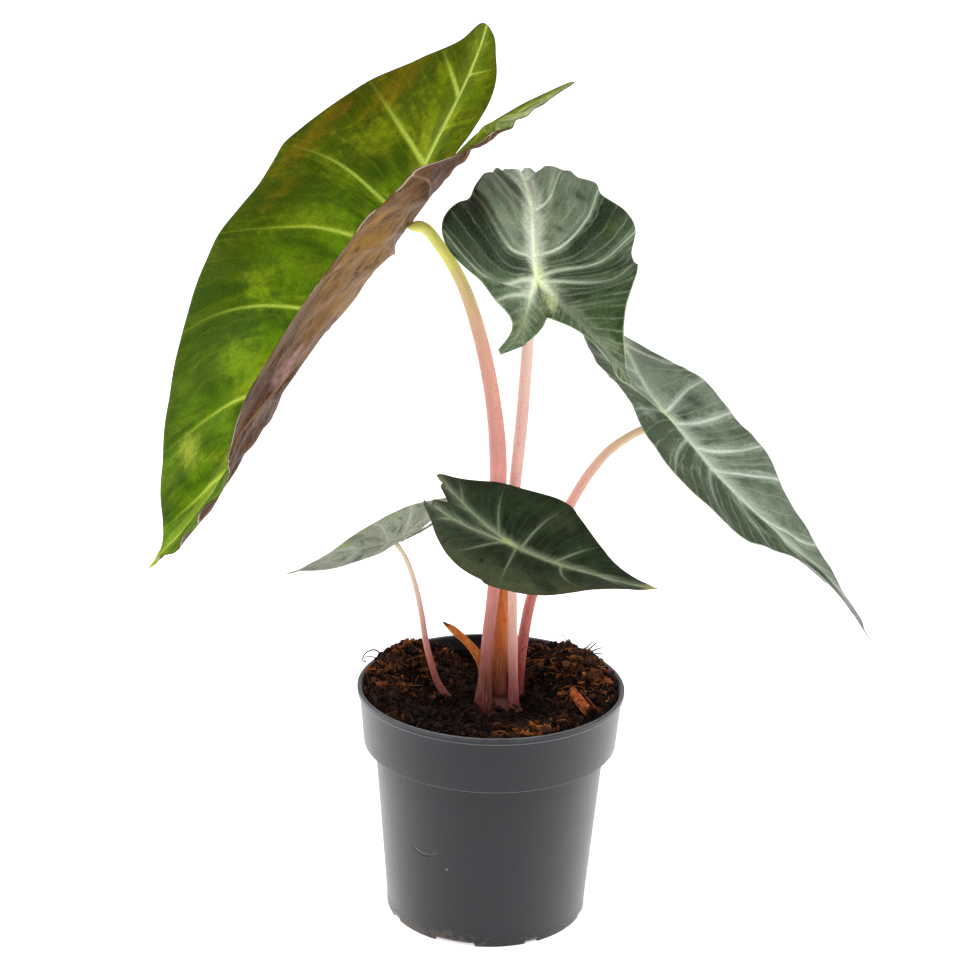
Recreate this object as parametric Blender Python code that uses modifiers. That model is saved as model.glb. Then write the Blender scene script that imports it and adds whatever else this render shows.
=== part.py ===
"""Pink dragon alocasia in a 12 cm nursery pot: five arrow-shaped leaves on pink stems.

World frame: pot axis on Z, underside of the pot on z = 0, the viewer on the -Y side.
Lengths in the constants are millimetres, angles are degrees.
"""
import math

import bmesh
import bpy
import numpy as np
from mathutils import Vector

MM = 0.001
FIT_GAP = 0.3          # clearance between touching pieces

# Pot: thin moulded plastic, collar on top, straight taper below
POT_HEIGHT = 109.5
RIM_RADIUS = 60.0
COLLAR_HEIGHT = 26.5
COLLAR_FOOT_RADIUS = 56.8
BODY_TOP_RADIUS = 51.3
BODY_FOOT_RADIUS = 44.8
BASE_RADIUS = 42.0
FOOT_ROUNDING = 4.0
FOOT_TAPER = 3.5       # height of the sloped inner foot above the floor
WALL = 1.3
FLOOR = 2.0
LIP_BEAD = 0.7
FLOOR_RADIUS = 40.0
STEP_DROP = 1.5        # how far the ledge under the collar slopes down to the body
POT_SIDES = 48
DRAIN_SLOTS = 8
DRAIN_SIZE = (9.0, 9.0, 3.2)

# Soil: a filled body with an uneven top
SOIL_LEVEL = 101.0
SOIL_RINGS = 11
SOIL_SIDES = 42
SOIL_EDGE_RADIUS = 57.0
SOIL_CLEARANCE = 0.45   # between soil and pot, with room for the facets of both
MOUNDS = [              # x, y, height, spread
    (-36.0, 26.0, 5.0, 15.0),
    (34.0, 30.0, 4.5, 14.0),
    (44.0, 4.0, 2.0, 12.0),
    (-20.0, -34.0, 2.5, 16.0),
    (22.0, -34.0, 2.0, 13.0),
    (-4.0, 44.0, -2.5, 12.0),
    (2.0, 2.0, -2.0, 17.0),
]

# Rhizome: the thick woody stem base in the soil, with a neck between the stems
STEM_AXIS = (3.5, 3.5)
RHIZOME_PROFILE = [     # radius, height, from the top down
    (0.0, 112.0), (4.0, 112.0), (4.3, 111.0), (4.4, 105.0), (5.2, 101.0), (8.0, 99.4),
    (13.0, 98.6), (15.2, 95.5), (15.4, 88.0), (13.0, 78.0), (7.0, 71.5), (0.0, 70.0),
]
RHIZOME_SIDES = 28
SOCKET_LENGTH = 15.0    # from a stem's foot up past the top of the shoulder
CUTTER_ROUND = 1.03     # a faceted cutter is drawn this much wider than its stem

# Stems: centre points from the base up, then the radius at the base, middle and top
STEMS = {
    "petiole_1": dict(
        path=[(-3.3, -5, 90), (-3.3, -5, 98.5), (-2.7, -5, 130), (-1.4, -4.5, 157), (1, -3.5, 196),
              (0.2, -2.8, 230), (-3.4, -2, 254), (-8, -1.4, 274), (-16, -0.5, 297),
              (-26, 0.3, 312), (-35, 0.8, 320.6)],
        radii=(3.3, 2.9, 2.1), leaf="blade_1", side_gap=-0.9),
    "petiole_2": dict(
        path=[(3.5, 3.5, 108), (3.5, 3.5, 113), (4.4, 3.2, 153), (8.6, 3, 210), (10.4, 2.5, 235),
              (11.5, 1, 258), (12.4, -2, 280), (13.4, -7, 296)],
        radii=(2.5, 2.3, 1.9), leaf="blade_2", side_gap=0.4),
    "petiole_3": dict(
        path=[(11.6, 8.8, 90), (11.9, 9.2, 98.5), (13.8, 11, 125), (17.5, 13, 148), (25, 16.5, 170),
              (34.5, 20, 192), (43, 23, 206), (51, 25.5, 215), (60.5, 27.5, 221.5),
              (67.5, 28.6, 225)],
        radii=(2.7, 2.2, 1.7), leaf="blade_3", side_gap=-0.5),
    "petiole_4": dict(
        path=[(10.3, 3.4, 90), (10.3, 2.2, 98.5), (9.7, -2, 120), (9.1, -5, 138), (8.4, -12, 160),
              (7.2, -20, 176), (6.4, -28, 184)],
        radii=(2.2, 2.0, 1.7), leaf="blade_4", side_gap=-0.15),
    "petiole_5": dict(
        path=[(-15.9, 4.6, 96.2), (-18.7, 4.6, 99.4), (-21.5, 4.6, 102.6), (-24.2, 4.6, 107),
              (-27, 4.5, 115), (-30, 4.2, 127), (-32.6, 3.7, 143), (-36, 3, 158),
              (-40, 2.5, 169)],
        radii=(1.7, 1.4, 1.1), leaf="blade_5", side_gap=-0.25),
}
STEM_RINGS = 17
STEM_SIDES_STEP = 2     # bevel resolution of the stem curves

# Leaves: flat pattern (length from the junction to the tip, lobes behind it, half widths from
# lobe tip to leaf tip), then the midrib in space and the fold of each half from rib to margin
BLADE_THICKNESS = 0.8
RIB_THICKNESS = 1.7
OUTLINE_STATIONS = (-1, -0.8, -0.45, -0.1, 0.12, 0.35, 0.6, 0.82, 0.94, 1.0)
MIDRIB_STATIONS = (-1, -0.5, 0, 0.3, 0.6, 0.82, 1.0)
FOLD_STATIONS = (-1, -0.4, 0, 0.35, 0.7, 1.0)
LEAVES = {
    "blade_1": dict(
        length=191, lobes=(91, 91), sinus=38, facing=(-0.85, -0.1, 0.5), curl_width=80,
        midrib=[(16, 26, 383), (-17, 15, 355), (-43, 0, 320), (-76, -18, 278), (-107, -15, 230),
                (-130, -18, 195), (-152, -24, 170)],
        half_widths=[(49, 56, 80, 89, 81, 72, 61, 36, 6)] * 2,
        sinus_widths=[(33, 22, 7)] * 2,
        fold=[[(27, 56), (15, 52), (39, 39), (46, 50), (36, 51), (12, 62)],
              [(-6, -1), (3, 7), (3, 24), (8, 19), (1, 15), (-8, 10)]],
        laterals=(3, 6), columns=6, quilt=1.5, wave=1.4),
    "blade_2": dict(
        length=112, lobes=(56, 31), sinus=18, facing=(0.4, -0.88, 0.25), curl_width=46,
        midrib=[(32, -34, 256), (23, -21, 278), (15, -15, 304), (12, 0, 332), (7, 31, 340),
                (9, 51, 326), (10, 64, 310)],
        half_widths=[(30, 28, 33, 48, 51, 48, 24, 13, 5), (34, 35, 25, 34, 47, 26, 14, 14, 5)],
        sinus_widths=[(23, 20, 11), (20, 18, 6)],
        fold=[[(-6, -9), (20, 6), (-2, -9), (-3, -4), (25, -10), (12, -1)],
              [(10, 3), (34, 11), (33, 16), (-11, -13), (-14, -13), (-23, -14)]],
        laterals=(2, 6), columns=5, quilt=1.0, wave=0.8),
    "blade_3": dict(
        length=139, lobes=(54, 54), sinus=15, facing=(0.55, -0.5, 0.65), curl_width=40,
        midrib=[(44, 60, 260), (58, 44, 244), (76, 28, 231), (101, 6, 208), (130, -11, 185),
                (151, -26, 169), (166, -33, 149)],
        half_widths=[(17, 26, 36, 42, 42, 40, 28, 11, 5)] * 2,
        sinus_widths=[(16, 10, 3)] * 2,
        fold=[[(30, 18), (26, 34), (23, 27), (17, 17), (29, 18), (50, 30)],
              [(-12, 0), (1, 2), (-6, 0), (-11, 2), (-29, -6), (-12, -13)]],
        laterals=(2, 6), columns=5, quilt=0.9, wave=0.7),
    "blade_4": dict(
        length=69, lobes=(42, 42), sinus=32, facing=(0.05, -0.6, 0.8), curl_width=28,
        midrib=[(-28, -33, 215), (-12, -33, 201), (6, -35, 191), (24, -43, 186), (44, -48, 182),
                (59, -50, 179), (71, -52, 178)],
        half_widths=[(9, 16, 25, 29, 32, 28, 18, 9, 3)] * 2,
        sinus_widths=[(9, 5, 2)] * 2,
        fold=[[(18, 2), (16, 6), (24, 14), (30, 19), (41, 31), (41, 36)],
              [(-22, -14), (-10, -3), (-4, 1), (-10, 0), (-29, -15), (-32, -23)]],
        laterals=(2, 4), columns=4, quilt=0.6, wave=0.4),
    "blade_5": dict(
        length=52, lobes=(30, 30), sinus=12, facing=(-0.1, -0.25, 0.95), curl_width=21,
        midrib=[(-20, -2, 192), (-32, 1, 184), (-45, 2, 177), (-60, 1, 173), (-74, -2, 168),
                (-85, -4, 165), (-94, -7, 163)],
        half_widths=[(11, 13, 17, 20, 21, 19, 15, 8, 3)] * 2,
        sinus_widths=[(7, 4, 1)] * 2,
        fold=[[(6, 9), (9, 10), (1, 3), (-14, -10), (-27, -19), (-39, -27)],
              [(35, 31), (29, 29), (27, 28), (19, 20), (21, 15), (36, 22)]],
        laterals=(2, 4), columns=3, quilt=0.5, wave=0.4),
}
LATERAL_RAKE = 0.16     # how far a side vein's end lies ahead of its start, of the leaf length
LATERAL_BOW = 0.10      # backward bow of a side vein, of its own length
WAVES_PER_LATERAL = 0.5
ROWS_PER_LATERAL = 4
RELIEF_WIDTH = 0.7      # share of curl_width below which quilting and waves fade out

# Orange papery sheath round the front of the middle stem
SHEATH_INNER_RADIUS = 3.2
SHEATH_THICKNESS = 0.7
SHEATH_BASE = 112.3
SHEATH_TOP = 166.0
SHEATH_HALF_ANGLES = (150, 148, 130, 105, 80, 58, 38, 20, 6)
SHEATH_COLUMNS = 12

# Dried bract left of the stems, a curled strip
BRACT_PATH = [(-2.2, 9.8, 100.0), (-2.8, 9.7, 107), (-5.0, 9.5, 117), (-11.5, 9.5, 126),
              (-18, 9.5, 132), (-22.5, 9.5, 135.5)]
BRACT_HALF_WIDTHS = (1.6, 2.4, 2.8, 2.7, 1.8, 0.5)
BRACT_THICKNESS = 0.7
BRACT_CURL = 0.55

# Bark chip on the soil
CHIP_SIZE = (18.0, 6.0, 3.6)
CHIP_PLACE = (41.0, 2.0)
CHIP_TURN = -74.0
CHIP_PAD_RADIUS = 12.0

COLOURS = {
    "pot": (0.046, 0.049, 0.060), "soil": (0.030, 0.012, 0.006), "rhizome": (0.28, 0.13, 0.07),
    "petiole": (0.78, 0.36, 0.30), "blade_1": (0.13, 0.22, 0.02), "blade_2": (0.10, 0.19, 0.12),
    "blade_3": (0.17, 0.25, 0.19), "blade_4": (0.03, 0.07, 0.035), "blade_5": (0.20, 0.28, 0.18),
    "sheath": (0.60, 0.20, 0.05), "bract": (0.42, 0.14, 0.04), "bark_chip": (0.38, 0.12, 0.04),
}


def material(name, colour, roughness):
    """Plain Principled material in the piece's main colour."""
    found = bpy.data.materials.get(name)
    if found:
        return found
    made = bpy.data.materials.new(name)
    made.use_nodes = True
    shader = made.node_tree.nodes["Principled BSDF"]
    shader.inputs["Base Color"].default_value = (*colour, 1.0)
    shader.inputs["Roughness"].default_value = roughness
    shader.inputs["Metallic"].default_value = 0.0
    made.diffuse_color = (*colour, 1.0)
    return made


def add_object(name, data, group, finish=None):
    """Link new object data into a collection, with its material."""
    piece = bpy.data.objects.new(name, data)
    group.objects.link(piece)
    if finish:
        data.materials.clear()
        data.materials.append(finish)
    return piece


def mesh_from(name, points, faces):
    """Mesh from points in millimetres."""
    mesh = bpy.data.meshes.new(name)
    mesh.from_pydata([tuple(float(c) * MM for c in p) for p in points], [], faces)
    mesh.update()
    return mesh


def smooth(stations, values, at):
    """Smooth curve through values at increasing stations (cubic Hermite)."""
    stations = np.asarray(stations, float)
    values = np.asarray(values, float)
    at = np.asarray(at, float)
    slopes = np.gradient(values, stations, axis=0)
    i = np.clip(np.searchsorted(stations, at, side="right") - 1, 0, len(stations) - 2)
    step = stations[i + 1] - stations[i]
    x = (at - stations[i]) / step
    if values.ndim > 1:
        step = step[..., None]
        x = x[..., None]
    return ((2 * x**3 - 3 * x**2 + 1) * values[i] + (x**3 - 2 * x**2 + x) * step * slopes[i]
            + (3 * x**2 - 2 * x**3) * values[i + 1] + (x**3 - x**2) * step * slopes[i + 1])


def unit(v):
    return v / np.linalg.norm(v, axis=-1, keepdims=True)


def stretch(stations, lobe, length):
    """Stations from -1 to 1 to millimetres behind and ahead of the junction."""
    stations = np.asarray(stations, float)
    return np.where(stations < 0, stations * lobe, stations * length)


class Leaf:
    """Arrow-shaped leaf: a flat pattern bent along its midrib and folded at the rib."""

    SAMPLES = 161

    def __init__(self, spec):
        self.spec = spec
        self.length = spec["length"]
        self.lobe = max(spec["lobes"])
        self.rib_at = stretch(MIDRIB_STATIONS, self.lobe, self.length)
        self.rib = np.array(spec["midrib"], float)
        self.fold_at = stretch(FOLD_STATIONS, self.lobe, self.length)
        self.fold = np.radians(np.array(spec["fold"], float))
        along = np.linspace(-self.lobe - 1, self.length + 1, self.SAMPLES)
        centre = smooth(self.rib_at, self.rib, along)
        tangent = unit(np.gradient(centre, along, axis=0))
        normal = np.zeros_like(tangent)
        start = int(np.abs(along).argmin())
        facing = np.array(spec["facing"], float)
        normal[start] = unit(facing - tangent[start] * (facing @ tangent[start]))
        for order in (range(start + 1, self.SAMPLES), range(start - 1, -1, -1)):
            last = normal[start]
            for j in order:
                last = unit(last - tangent[j] * (last @ tangent[j]))
                normal[j] = last
        self.along = along
        self.tangent = tangent
        self.normal = normal

    def frame(self, a):
        """Tangent, upward normal and side direction of the midrib."""
        tangent = unit(np.stack([np.interp(a, self.along, self.tangent[:, k]) for k in range(3)], -1))
        normal = np.stack([np.interp(a, self.along, self.normal[:, k]) for k in range(3)], -1)
        normal = unit(normal - tangent * np.sum(normal * tangent, -1, keepdims=True))
        return tangent, normal, np.cross(tangent, normal)

    def place(self, a, w, half, lift=0.0):
        """Point at a along the midrib and w to the side, lifted along the surface normal."""
        a = np.asarray(a, float)
        w = np.asarray(w, float)
        _, normal, side = self.frame(a)
        side = side * (1 if half == 0 else -1)
        angle = smooth(self.fold_at, self.fold[half], a)
        bend = (angle[..., 1] - angle[..., 0]) / self.spec["curl_width"]
        middle = angle[..., 0] + bend * w / 2
        reach = w * np.sinc(bend * w / 2 / math.pi)
        slope = (angle[..., 0] + bend * w)[..., None]
        up = np.cos(slope) * normal - np.sin(slope) * side
        return (smooth(self.rib_at, self.rib, a) + (reach * np.cos(middle))[..., None] * side
                + (reach * np.sin(middle))[..., None] * normal + up * np.asarray(lift)[..., None])

    def outline(self, half, t):
        """Margin in the flat pattern, t = 0 at the lobe tip, 1 at the leaf tip."""
        at = stretch(OUTLINE_STATIONS, self.spec["lobes"][half], self.length)
        widths = np.array([*self.spec["half_widths"][half], 0.0])
        k = np.arange(len(at))
        return smooth(k, at, t * k[-1]), np.maximum(smooth(k, widths, t * k[-1]), 0.0)

    def sinus(self, half, t):
        """Edge between the lobes, t = 0 at the lobe tip, 1 at its bottom on the centre line."""
        lobe = self.spec["lobes"][half]
        deep = self.spec["sinus"]
        at = np.array([-lobe, -0.9 * lobe, -0.62 * lobe - 0.38 * deep,
                       -0.25 * lobe - 0.75 * deep, -deep])
        widths = np.array([self.spec["half_widths"][half][0], *self.spec["sinus_widths"][half], 0.0])
        k = np.arange(len(at))
        return smooth(k, at, t * k[-1]), np.maximum(smooth(k, widths, t * k[-1]), 0.0)

    def rows(self, half):
        """Flat-pattern rows that follow the side veins: (a, w, lift, rib weight) arrays."""
        spec = self.spec
        back, ahead = spec["laterals"]
        veins = back + ahead
        columns = spec["columns"]
        rows = []
        across = np.linspace(0.0, 1.0, columns + 1)
        for i in range(veins * ROWS_PER_LATERAL + 1):
            q = i / ROWS_PER_LATERAL
            if q <= back:
                share = q / back
                root = np.array([-spec["lobes"][half], spec["half_widths"][half][0]]) * (1 - share)
            else:
                share = (q - back) / ahead
                root = np.array([self.length * share**1.05, 0.0])
            end = 0.44 * min(q / back, 1.0) + 0.56 * max(q - back, 0.0) / ahead
            end += LATERAL_RAKE * math.sin(math.pi * q / veins)
            tip = np.array([float(x) for x in self.outline(half, min(end, 1.0))])
            a = root[0] + (tip[0] - root[0]) * across
            w = root[1] + (tip[1] - root[1]) * across
            span = float(np.hypot(*(tip - root)))
            a = a - LATERAL_BOW * span * 4 * across * (1 - across)
            w = np.maximum(w, 0.0)
            pillow = spec["quilt"] * math.sin(math.pi * q) ** 2 * 4 * across * (1 - across)
            edge = spec["wave"] * math.sin(2 * math.pi * WAVES_PER_LATERAL * q + 2 * half) * across**3
            width = abs(tip[1] - root[1]) / (RELIEF_WIDTH * spec["curl_width"])
            size = min(1.0, width) ** 2
            rows.append((a, w, (pillow + edge) * size, np.where(across == 0, 1.0, 0.0)))
        return rows

    def inner_rows(self, half):
        """Rows between the lobe's vein and the edge of the notch."""
        spec = self.spec
        back = spec["laterals"][0]
        steps = back * ROWS_PER_LATERAL
        columns = max(2, spec["columns"] // 2)
        across = np.linspace(0.0, 1.0, columns + 1)
        deep = spec["sinus"]
        notch_share = 1 - 0.6 * deep / spec["lobes"][half]
        rows = []
        for i in range(steps + 1):
            share = i / steps
            root = np.array([-spec["lobes"][half], spec["half_widths"][half][0]]) * (1 - share)
            if share <= notch_share:
                edge = np.array([float(x) for x in self.sinus(half, share / notch_share)])
            else:
                edge = np.array([-deep * (1 - share) / (1 - notch_share), 0.0])
            a = root[0] + (edge[0] - root[0]) * across
            w = root[1] + (edge[1] - root[1]) * across
            rows.append((a, np.maximum(w, 0.0), 0 * a, np.where(across == 0, 1.0, 0.0)))
        return rows

    def surface(self):
        """Points, triangles and rib weights of the leaf's middle surface."""
        points = []
        weights = []
        index = {}
        triangles = []

        def add(half, a, w, lift, weight):
            key = (round(float(a), 2), round(float(w), 2) * (1 if half == 0 else -1) + 0.0)
            if key not in index:
                index[key] = len(points)
                points.append(self.place(a, w, half, lift))
                weights.append(float(weight))
            return index[key]

        for half in (0, 1):
            for rows, mirror in ((self.rows(half), half == 1), (self.inner_rows(half), half == 0)):
                grid = [[add(half, *(float(c[k]) for c in row)) for k in range(len(row[0]))]
                        for row in rows]
                for i in range(len(grid) - 1):
                    for k in range(len(grid[0]) - 1):
                        a, b = grid[i][k], grid[i + 1][k]
                        c, d = grid[i + 1][k + 1], grid[i][k + 1]
                        for face in ((a, b, c), (a, c, d)):
                            if len(set(face)) == 3:
                                triangles.append(face if mirror else face[::-1])
        return points, triangles, weights


def make_blade(name, group):
    """Leaf blade: the bent pattern given thickness, thicker along the main ribs."""
    leaf = Leaf(LEAVES[name])
    points, triangles, weights = leaf.surface()
    blade = add_object(name, mesh_from(name, points, triangles), group,
                       material(name, COLOURS[name], 0.45))
    ribs = blade.vertex_groups.new(name="ribs")
    for i, weight in enumerate(weights):
        ribs.add([i], weight, "REPLACE")
    solid = blade.modifiers.new("thickness", "SOLIDIFY")
    solid.thickness = RIB_THICKNESS * MM
    solid.offset = -1.0
    solid.vertex_group = "ribs"
    solid.thickness_vertex_group = BLADE_THICKNESS / RIB_THICKNESS
    blade.data.shade_smooth()
    return blade


def stem_points(name):
    """Centre points of a stem, from its base to just under its leaf, and radii."""
    spec = STEMS[name]
    leaf = Leaf(LEAVES[spec["leaf"]])
    rib = leaf.rib[2]
    path = np.array(spec["path"], float)
    ends = np.vstack([path, rib])
    reach = np.r_[0, np.cumsum(np.linalg.norm(np.diff(ends, axis=0), axis=1))]
    direction = unit(ends[-1] - ends[-2])
    _, normal, _ = leaf.frame(np.array(0.0))
    tilt = math.acos(min(1.0, float(abs(direction @ normal))))
    radius = spec["radii"][2]
    stop = (RIB_THICKNESS + FIT_GAP) / math.cos(tilt) + radius * math.tan(tilt) * 0.6 + spec["side_gap"]
    at = np.linspace(0.0, reach[-1] - stop, STEM_RINGS)
    points = smooth(reach, ends, at)
    radii = np.interp(at / at[-1], (0.0, 0.5, 1.0), spec["radii"])
    return points, radii


def tube(name, points, radii, group, finish):
    """Tapered round bar along points, with closed ends, as a mesh."""
    curve = bpy.data.curves.new(name, "CURVE")
    curve.dimensions = "3D"
    curve.bevel_depth = MM
    curve.bevel_resolution = STEM_SIDES_STEP
    curve.use_fill_caps = True
    line = curve.splines.new("POLY")
    line.points.add(len(points) - 1)
    for point, place, radius in zip(line.points, points, radii):
        point.co = (*(float(c) * MM for c in place), 1.0)
        point.radius = float(radius)
    bar = add_object(name, curve, group)
    bpy.context.view_layer.update()
    ready = bar.evaluated_get(bpy.context.evaluated_depsgraph_get())
    mesh = bpy.data.meshes.new_from_object(ready)
    work = bmesh.new()
    work.from_mesh(mesh)
    bmesh.ops.remove_doubles(work, verts=work.verts, dist=0.00001)
    bmesh.ops.recalc_face_normals(work, faces=work.faces)
    work.to_mesh(mesh)
    work.free()
    bpy.data.objects.remove(bar)
    bpy.data.curves.remove(curve)
    mesh.name = name
    mesh.shade_smooth()
    return add_object(name, mesh, group, finish)


def turned(name, profile, sides, group, finish, place=(0.0, 0.0)):
    """Solid of revolution from (radius, height) points, top to bottom on the outer side."""
    points = [(r, 0.0, z) for r, z in profile]
    mesh = bpy.data.meshes.new(name)
    edges = [(i, i + 1) for i in range(len(points) - 1)]
    mesh.from_pydata([tuple(c * MM for c in p) for p in points], edges, [])
    body = add_object(name, mesh, group, finish)
    body.location = (place[0] * MM, place[1] * MM, 0.0)
    screw = body.modifiers.new("turn", "SCREW")
    screw.axis = "Z"
    screw.angle = 2 * math.pi
    screw.steps = sides
    screw.render_steps = sides
    screw.use_merge_vertices = True
    screw.merge_threshold = 0.00001
    return body


def cut(body, cutter):
    """Take the cutter's shape out of the body."""
    boolean = body.modifiers.new(cutter.name, "BOOLEAN")
    boolean.operation = "DIFFERENCE"
    boolean.solver = "EXACT"
    boolean.object = cutter


def hide_cutter(cutter):
    cutter.hide_render = True
    cutter.display_type = "WIRE"


def soil_height(x, y):
    """Height of the uneven soil top in millimetres."""
    z = SOIL_LEVEL
    for mx, my, height, spread in MOUNDS:
        z += height * math.exp(-((x - mx) ** 2 + (y - my) ** 2) / (2 * spread**2))
    z += 0.9 * math.sin(0.31 * x + 1.3) * math.cos(0.27 * y) + 0.5 * math.sin(0.7 * x - 0.55 * y)
    pad = math.hypot(x - CHIP_PLACE[0], y - CHIP_PLACE[1]) / CHIP_PAD_RADIUS
    level = SOIL_LEVEL + 1.0
    flat = min(1.0, max(0.0, (pad - 0.9) / 0.5))
    return level + (z - level) * flat


def pot_inner_radius(z):
    """Inner radius of the pot at height z."""
    step = POT_HEIGHT - COLLAR_HEIGHT
    if z >= step:
        share = (z - step) / COLLAR_HEIGHT
        return COLLAR_FOOT_RADIUS - WALL + (RIM_RADIUS - COLLAR_FOOT_RADIUS) * share
    foot = FLOOR + FOOT_TAPER
    share = max(0.0, (z - foot) / (step - STEP_DROP - foot))
    return BODY_FOOT_RADIUS - WALL + (BODY_TOP_RADIUS - BODY_FOOT_RADIUS) * share


def make_pot(group, cutters):
    """Thin pot with a collar, a step, a rounded foot and drainage slots round its foot."""
    step = POT_HEIGHT - COLLAR_HEIGHT
    slope = (RIM_RADIUS - COLLAR_FOOT_RADIUS) / COLLAR_HEIGHT
    profile = [(0.0, FLOOR), (FLOOR_RADIUS, FLOOR), (BODY_FOOT_RADIUS - WALL, FLOOR + FOOT_TAPER)]
    profile += [(BODY_TOP_RADIUS - WALL, step - STEP_DROP), (COLLAR_FOOT_RADIUS - WALL, step + WALL)]
    profile += [(RIM_RADIUS - WALL - slope * 2, POT_HEIGHT - 2.0), (RIM_RADIUS - WALL, POT_HEIGHT - 0.4)]
    profile += [(RIM_RADIUS - WALL + 0.4, POT_HEIGHT), (RIM_RADIUS + LIP_BEAD - 0.4, POT_HEIGHT)]
    profile += [(RIM_RADIUS + LIP_BEAD, POT_HEIGHT - 0.5), (RIM_RADIUS + LIP_BEAD, POT_HEIGHT - 2.2)]
    profile += [(RIM_RADIUS - 0.2, POT_HEIGHT - 3.0), (COLLAR_FOOT_RADIUS + 0.1, step + 1.2)]
    profile += [(COLLAR_FOOT_RADIUS - 0.8, step), (BODY_TOP_RADIUS + 1.0, step - 0.6)]
    profile += [(BODY_TOP_RADIUS, step - 2.0), (BODY_FOOT_RADIUS, FOOT_ROUNDING)]
    for turn in (30, 60):
        angle = math.radians(turn)
        profile.append((BASE_RADIUS + (BODY_FOOT_RADIUS - BASE_RADIUS) * math.cos(angle),
                        FOOT_ROUNDING * (1 - math.sin(angle))))
    profile += [(BASE_RADIUS, 0.0), (0.0, 0.0)]
    pot = turned("pot", profile, POT_SIDES, group, material("pot", COLOURS["pot"], 0.45))
    for i in range(DRAIN_SLOTS):
        angle = 2 * math.pi * (i + 0.35) / DRAIN_SLOTS
        bpy.ops.mesh.primitive_cube_add(size=1.0)
        slot = bpy.context.active_object
        slot.name = f"drain_cutter_{i + 1}"
        slot.scale = tuple(c * MM for c in DRAIN_SIZE)
        reach = BODY_FOOT_RADIUS * MM
        slot.location = (reach * math.cos(angle), reach * math.sin(angle), 0.6 * MM)
        slot.rotation_euler = (0.0, 0.0, angle)
        for owner in list(slot.users_collection):
            owner.objects.unlink(slot)
        cutters.objects.link(slot)
        hide_cutter(slot)
        cut(pot, slot)
    return pot


def make_soil(group):
    """Soil body: pot-shaped below, uneven on top."""
    bottom = FLOOR + FIT_GAP
    step = POT_HEIGHT - COLLAR_HEIGHT
    levels = [FOOT_TAPER + FLOOR + FIT_GAP, step / 2, step - STEP_DROP + 0.25, step + WALL + 0.25]
    points = [(0.0, 0.0, bottom)]
    rings = []

    def add_ring(radius, uneven, height=None):
        start = len(points)
        for k in range(SOIL_SIDES):
            angle = 2 * math.pi * k / SOIL_SIDES
            r = radius * (1 + uneven * math.sin(5 * k + len(rings)))
            x, y = r * math.cos(angle), r * math.sin(angle)
            points.append((x, y, soil_height(x, y) if height is None else height))
        rings.append(range(start, start + SOIL_SIDES))

    add_ring(FLOOR_RADIUS - SOIL_CLEARANCE, 0.0, bottom)
    for level in levels:
        radius = min(pot_inner_radius(level), COLLAR_FOOT_RADIUS - WALL) - SOIL_CLEARANCE
        add_ring(radius, 0.0, level)
    for j in range(SOIL_RINGS):
        add_ring(SOIL_EDGE_RADIUS * (1 - j / SOIL_RINGS), 0.02 if j else 0.0)
    points.append((0.0, 0.0, soil_height(0.0, 0.0)))
    faces = []
    for k in range(SOIL_SIDES):
        after = (k + 1) % SOIL_SIDES
        faces.append((0, rings[0][after], rings[0][k]))
        for low, high in zip(rings, rings[1:]):
            faces.append((low[k], low[after], high[after]))
            faces.append((low[k], high[after], high[k]))
        faces.append((rings[-1][k], rings[-1][after], len(points) - 1))
    soil = add_object("soil", mesh_from("soil", points, faces), group,
                      material("soil", COLOURS["soil"], 0.95))
    soil.data.shade_smooth()
    return soil


def rod_cutter(name, low, high, radius, cutters, sides=16):
    """Straight round cutter between two points."""
    low = Vector(low)
    high = Vector(high)
    axis = high - low
    bpy.ops.mesh.primitive_cylinder_add(vertices=sides, radius=radius * MM, depth=axis.length * MM)
    rod = bpy.context.active_object
    rod.name = name
    rod.location = (low + high) / 2 * MM
    rod.rotation_mode = "QUATERNION"
    rod.rotation_quaternion = axis.to_track_quat("Z", "Y")
    for owner in list(rod.users_collection):
        owner.objects.unlink(rod)
    cutters.objects.link(rod)
    hide_cutter(rod)
    return rod


def make_rhizome(group, cutters):
    """Stem base with a socket for each stem that stands on it."""
    rhizome = turned("rhizome", RHIZOME_PROFILE, RHIZOME_SIDES, group,
                     material("rhizome", COLOURS["rhizome"], 0.8), STEM_AXIS)
    for name in ("petiole_1", "petiole_2", "petiole_3", "petiole_4"):
        points, radii = stem_points(name)
        low = points[0]
        direction = unit(points[1] - points[0])
        start = low - direction * FIT_GAP
        socket = rod_cutter(f"socket_{name}", start, low + direction * SOCKET_LENGTH,
                            radii[0] * CUTTER_ROUND + FIT_GAP, cutters)
        cut(rhizome, socket)
    return rhizome


def strip_solid(name, rows, thickness, group, finish, offset):
    """Shell from rows of points, triangulated alike on both faces."""
    width = len(rows[0])
    points = [p for row in rows for p in row]
    faces = []
    for i in range(len(rows) - 1):
        for k in range(width - 1):
            a, b = i * width + k, i * width + k + 1
            c, d = a + width + 1, a + width
            faces += [(a, b, c), (a, c, d)]
    piece = add_object(name, mesh_from(name, points, faces), group, finish)
    solid = piece.modifiers.new("thickness", "SOLIDIFY")
    solid.thickness = thickness * MM
    solid.offset = offset
    piece.data.shade_smooth()
    return piece


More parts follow.
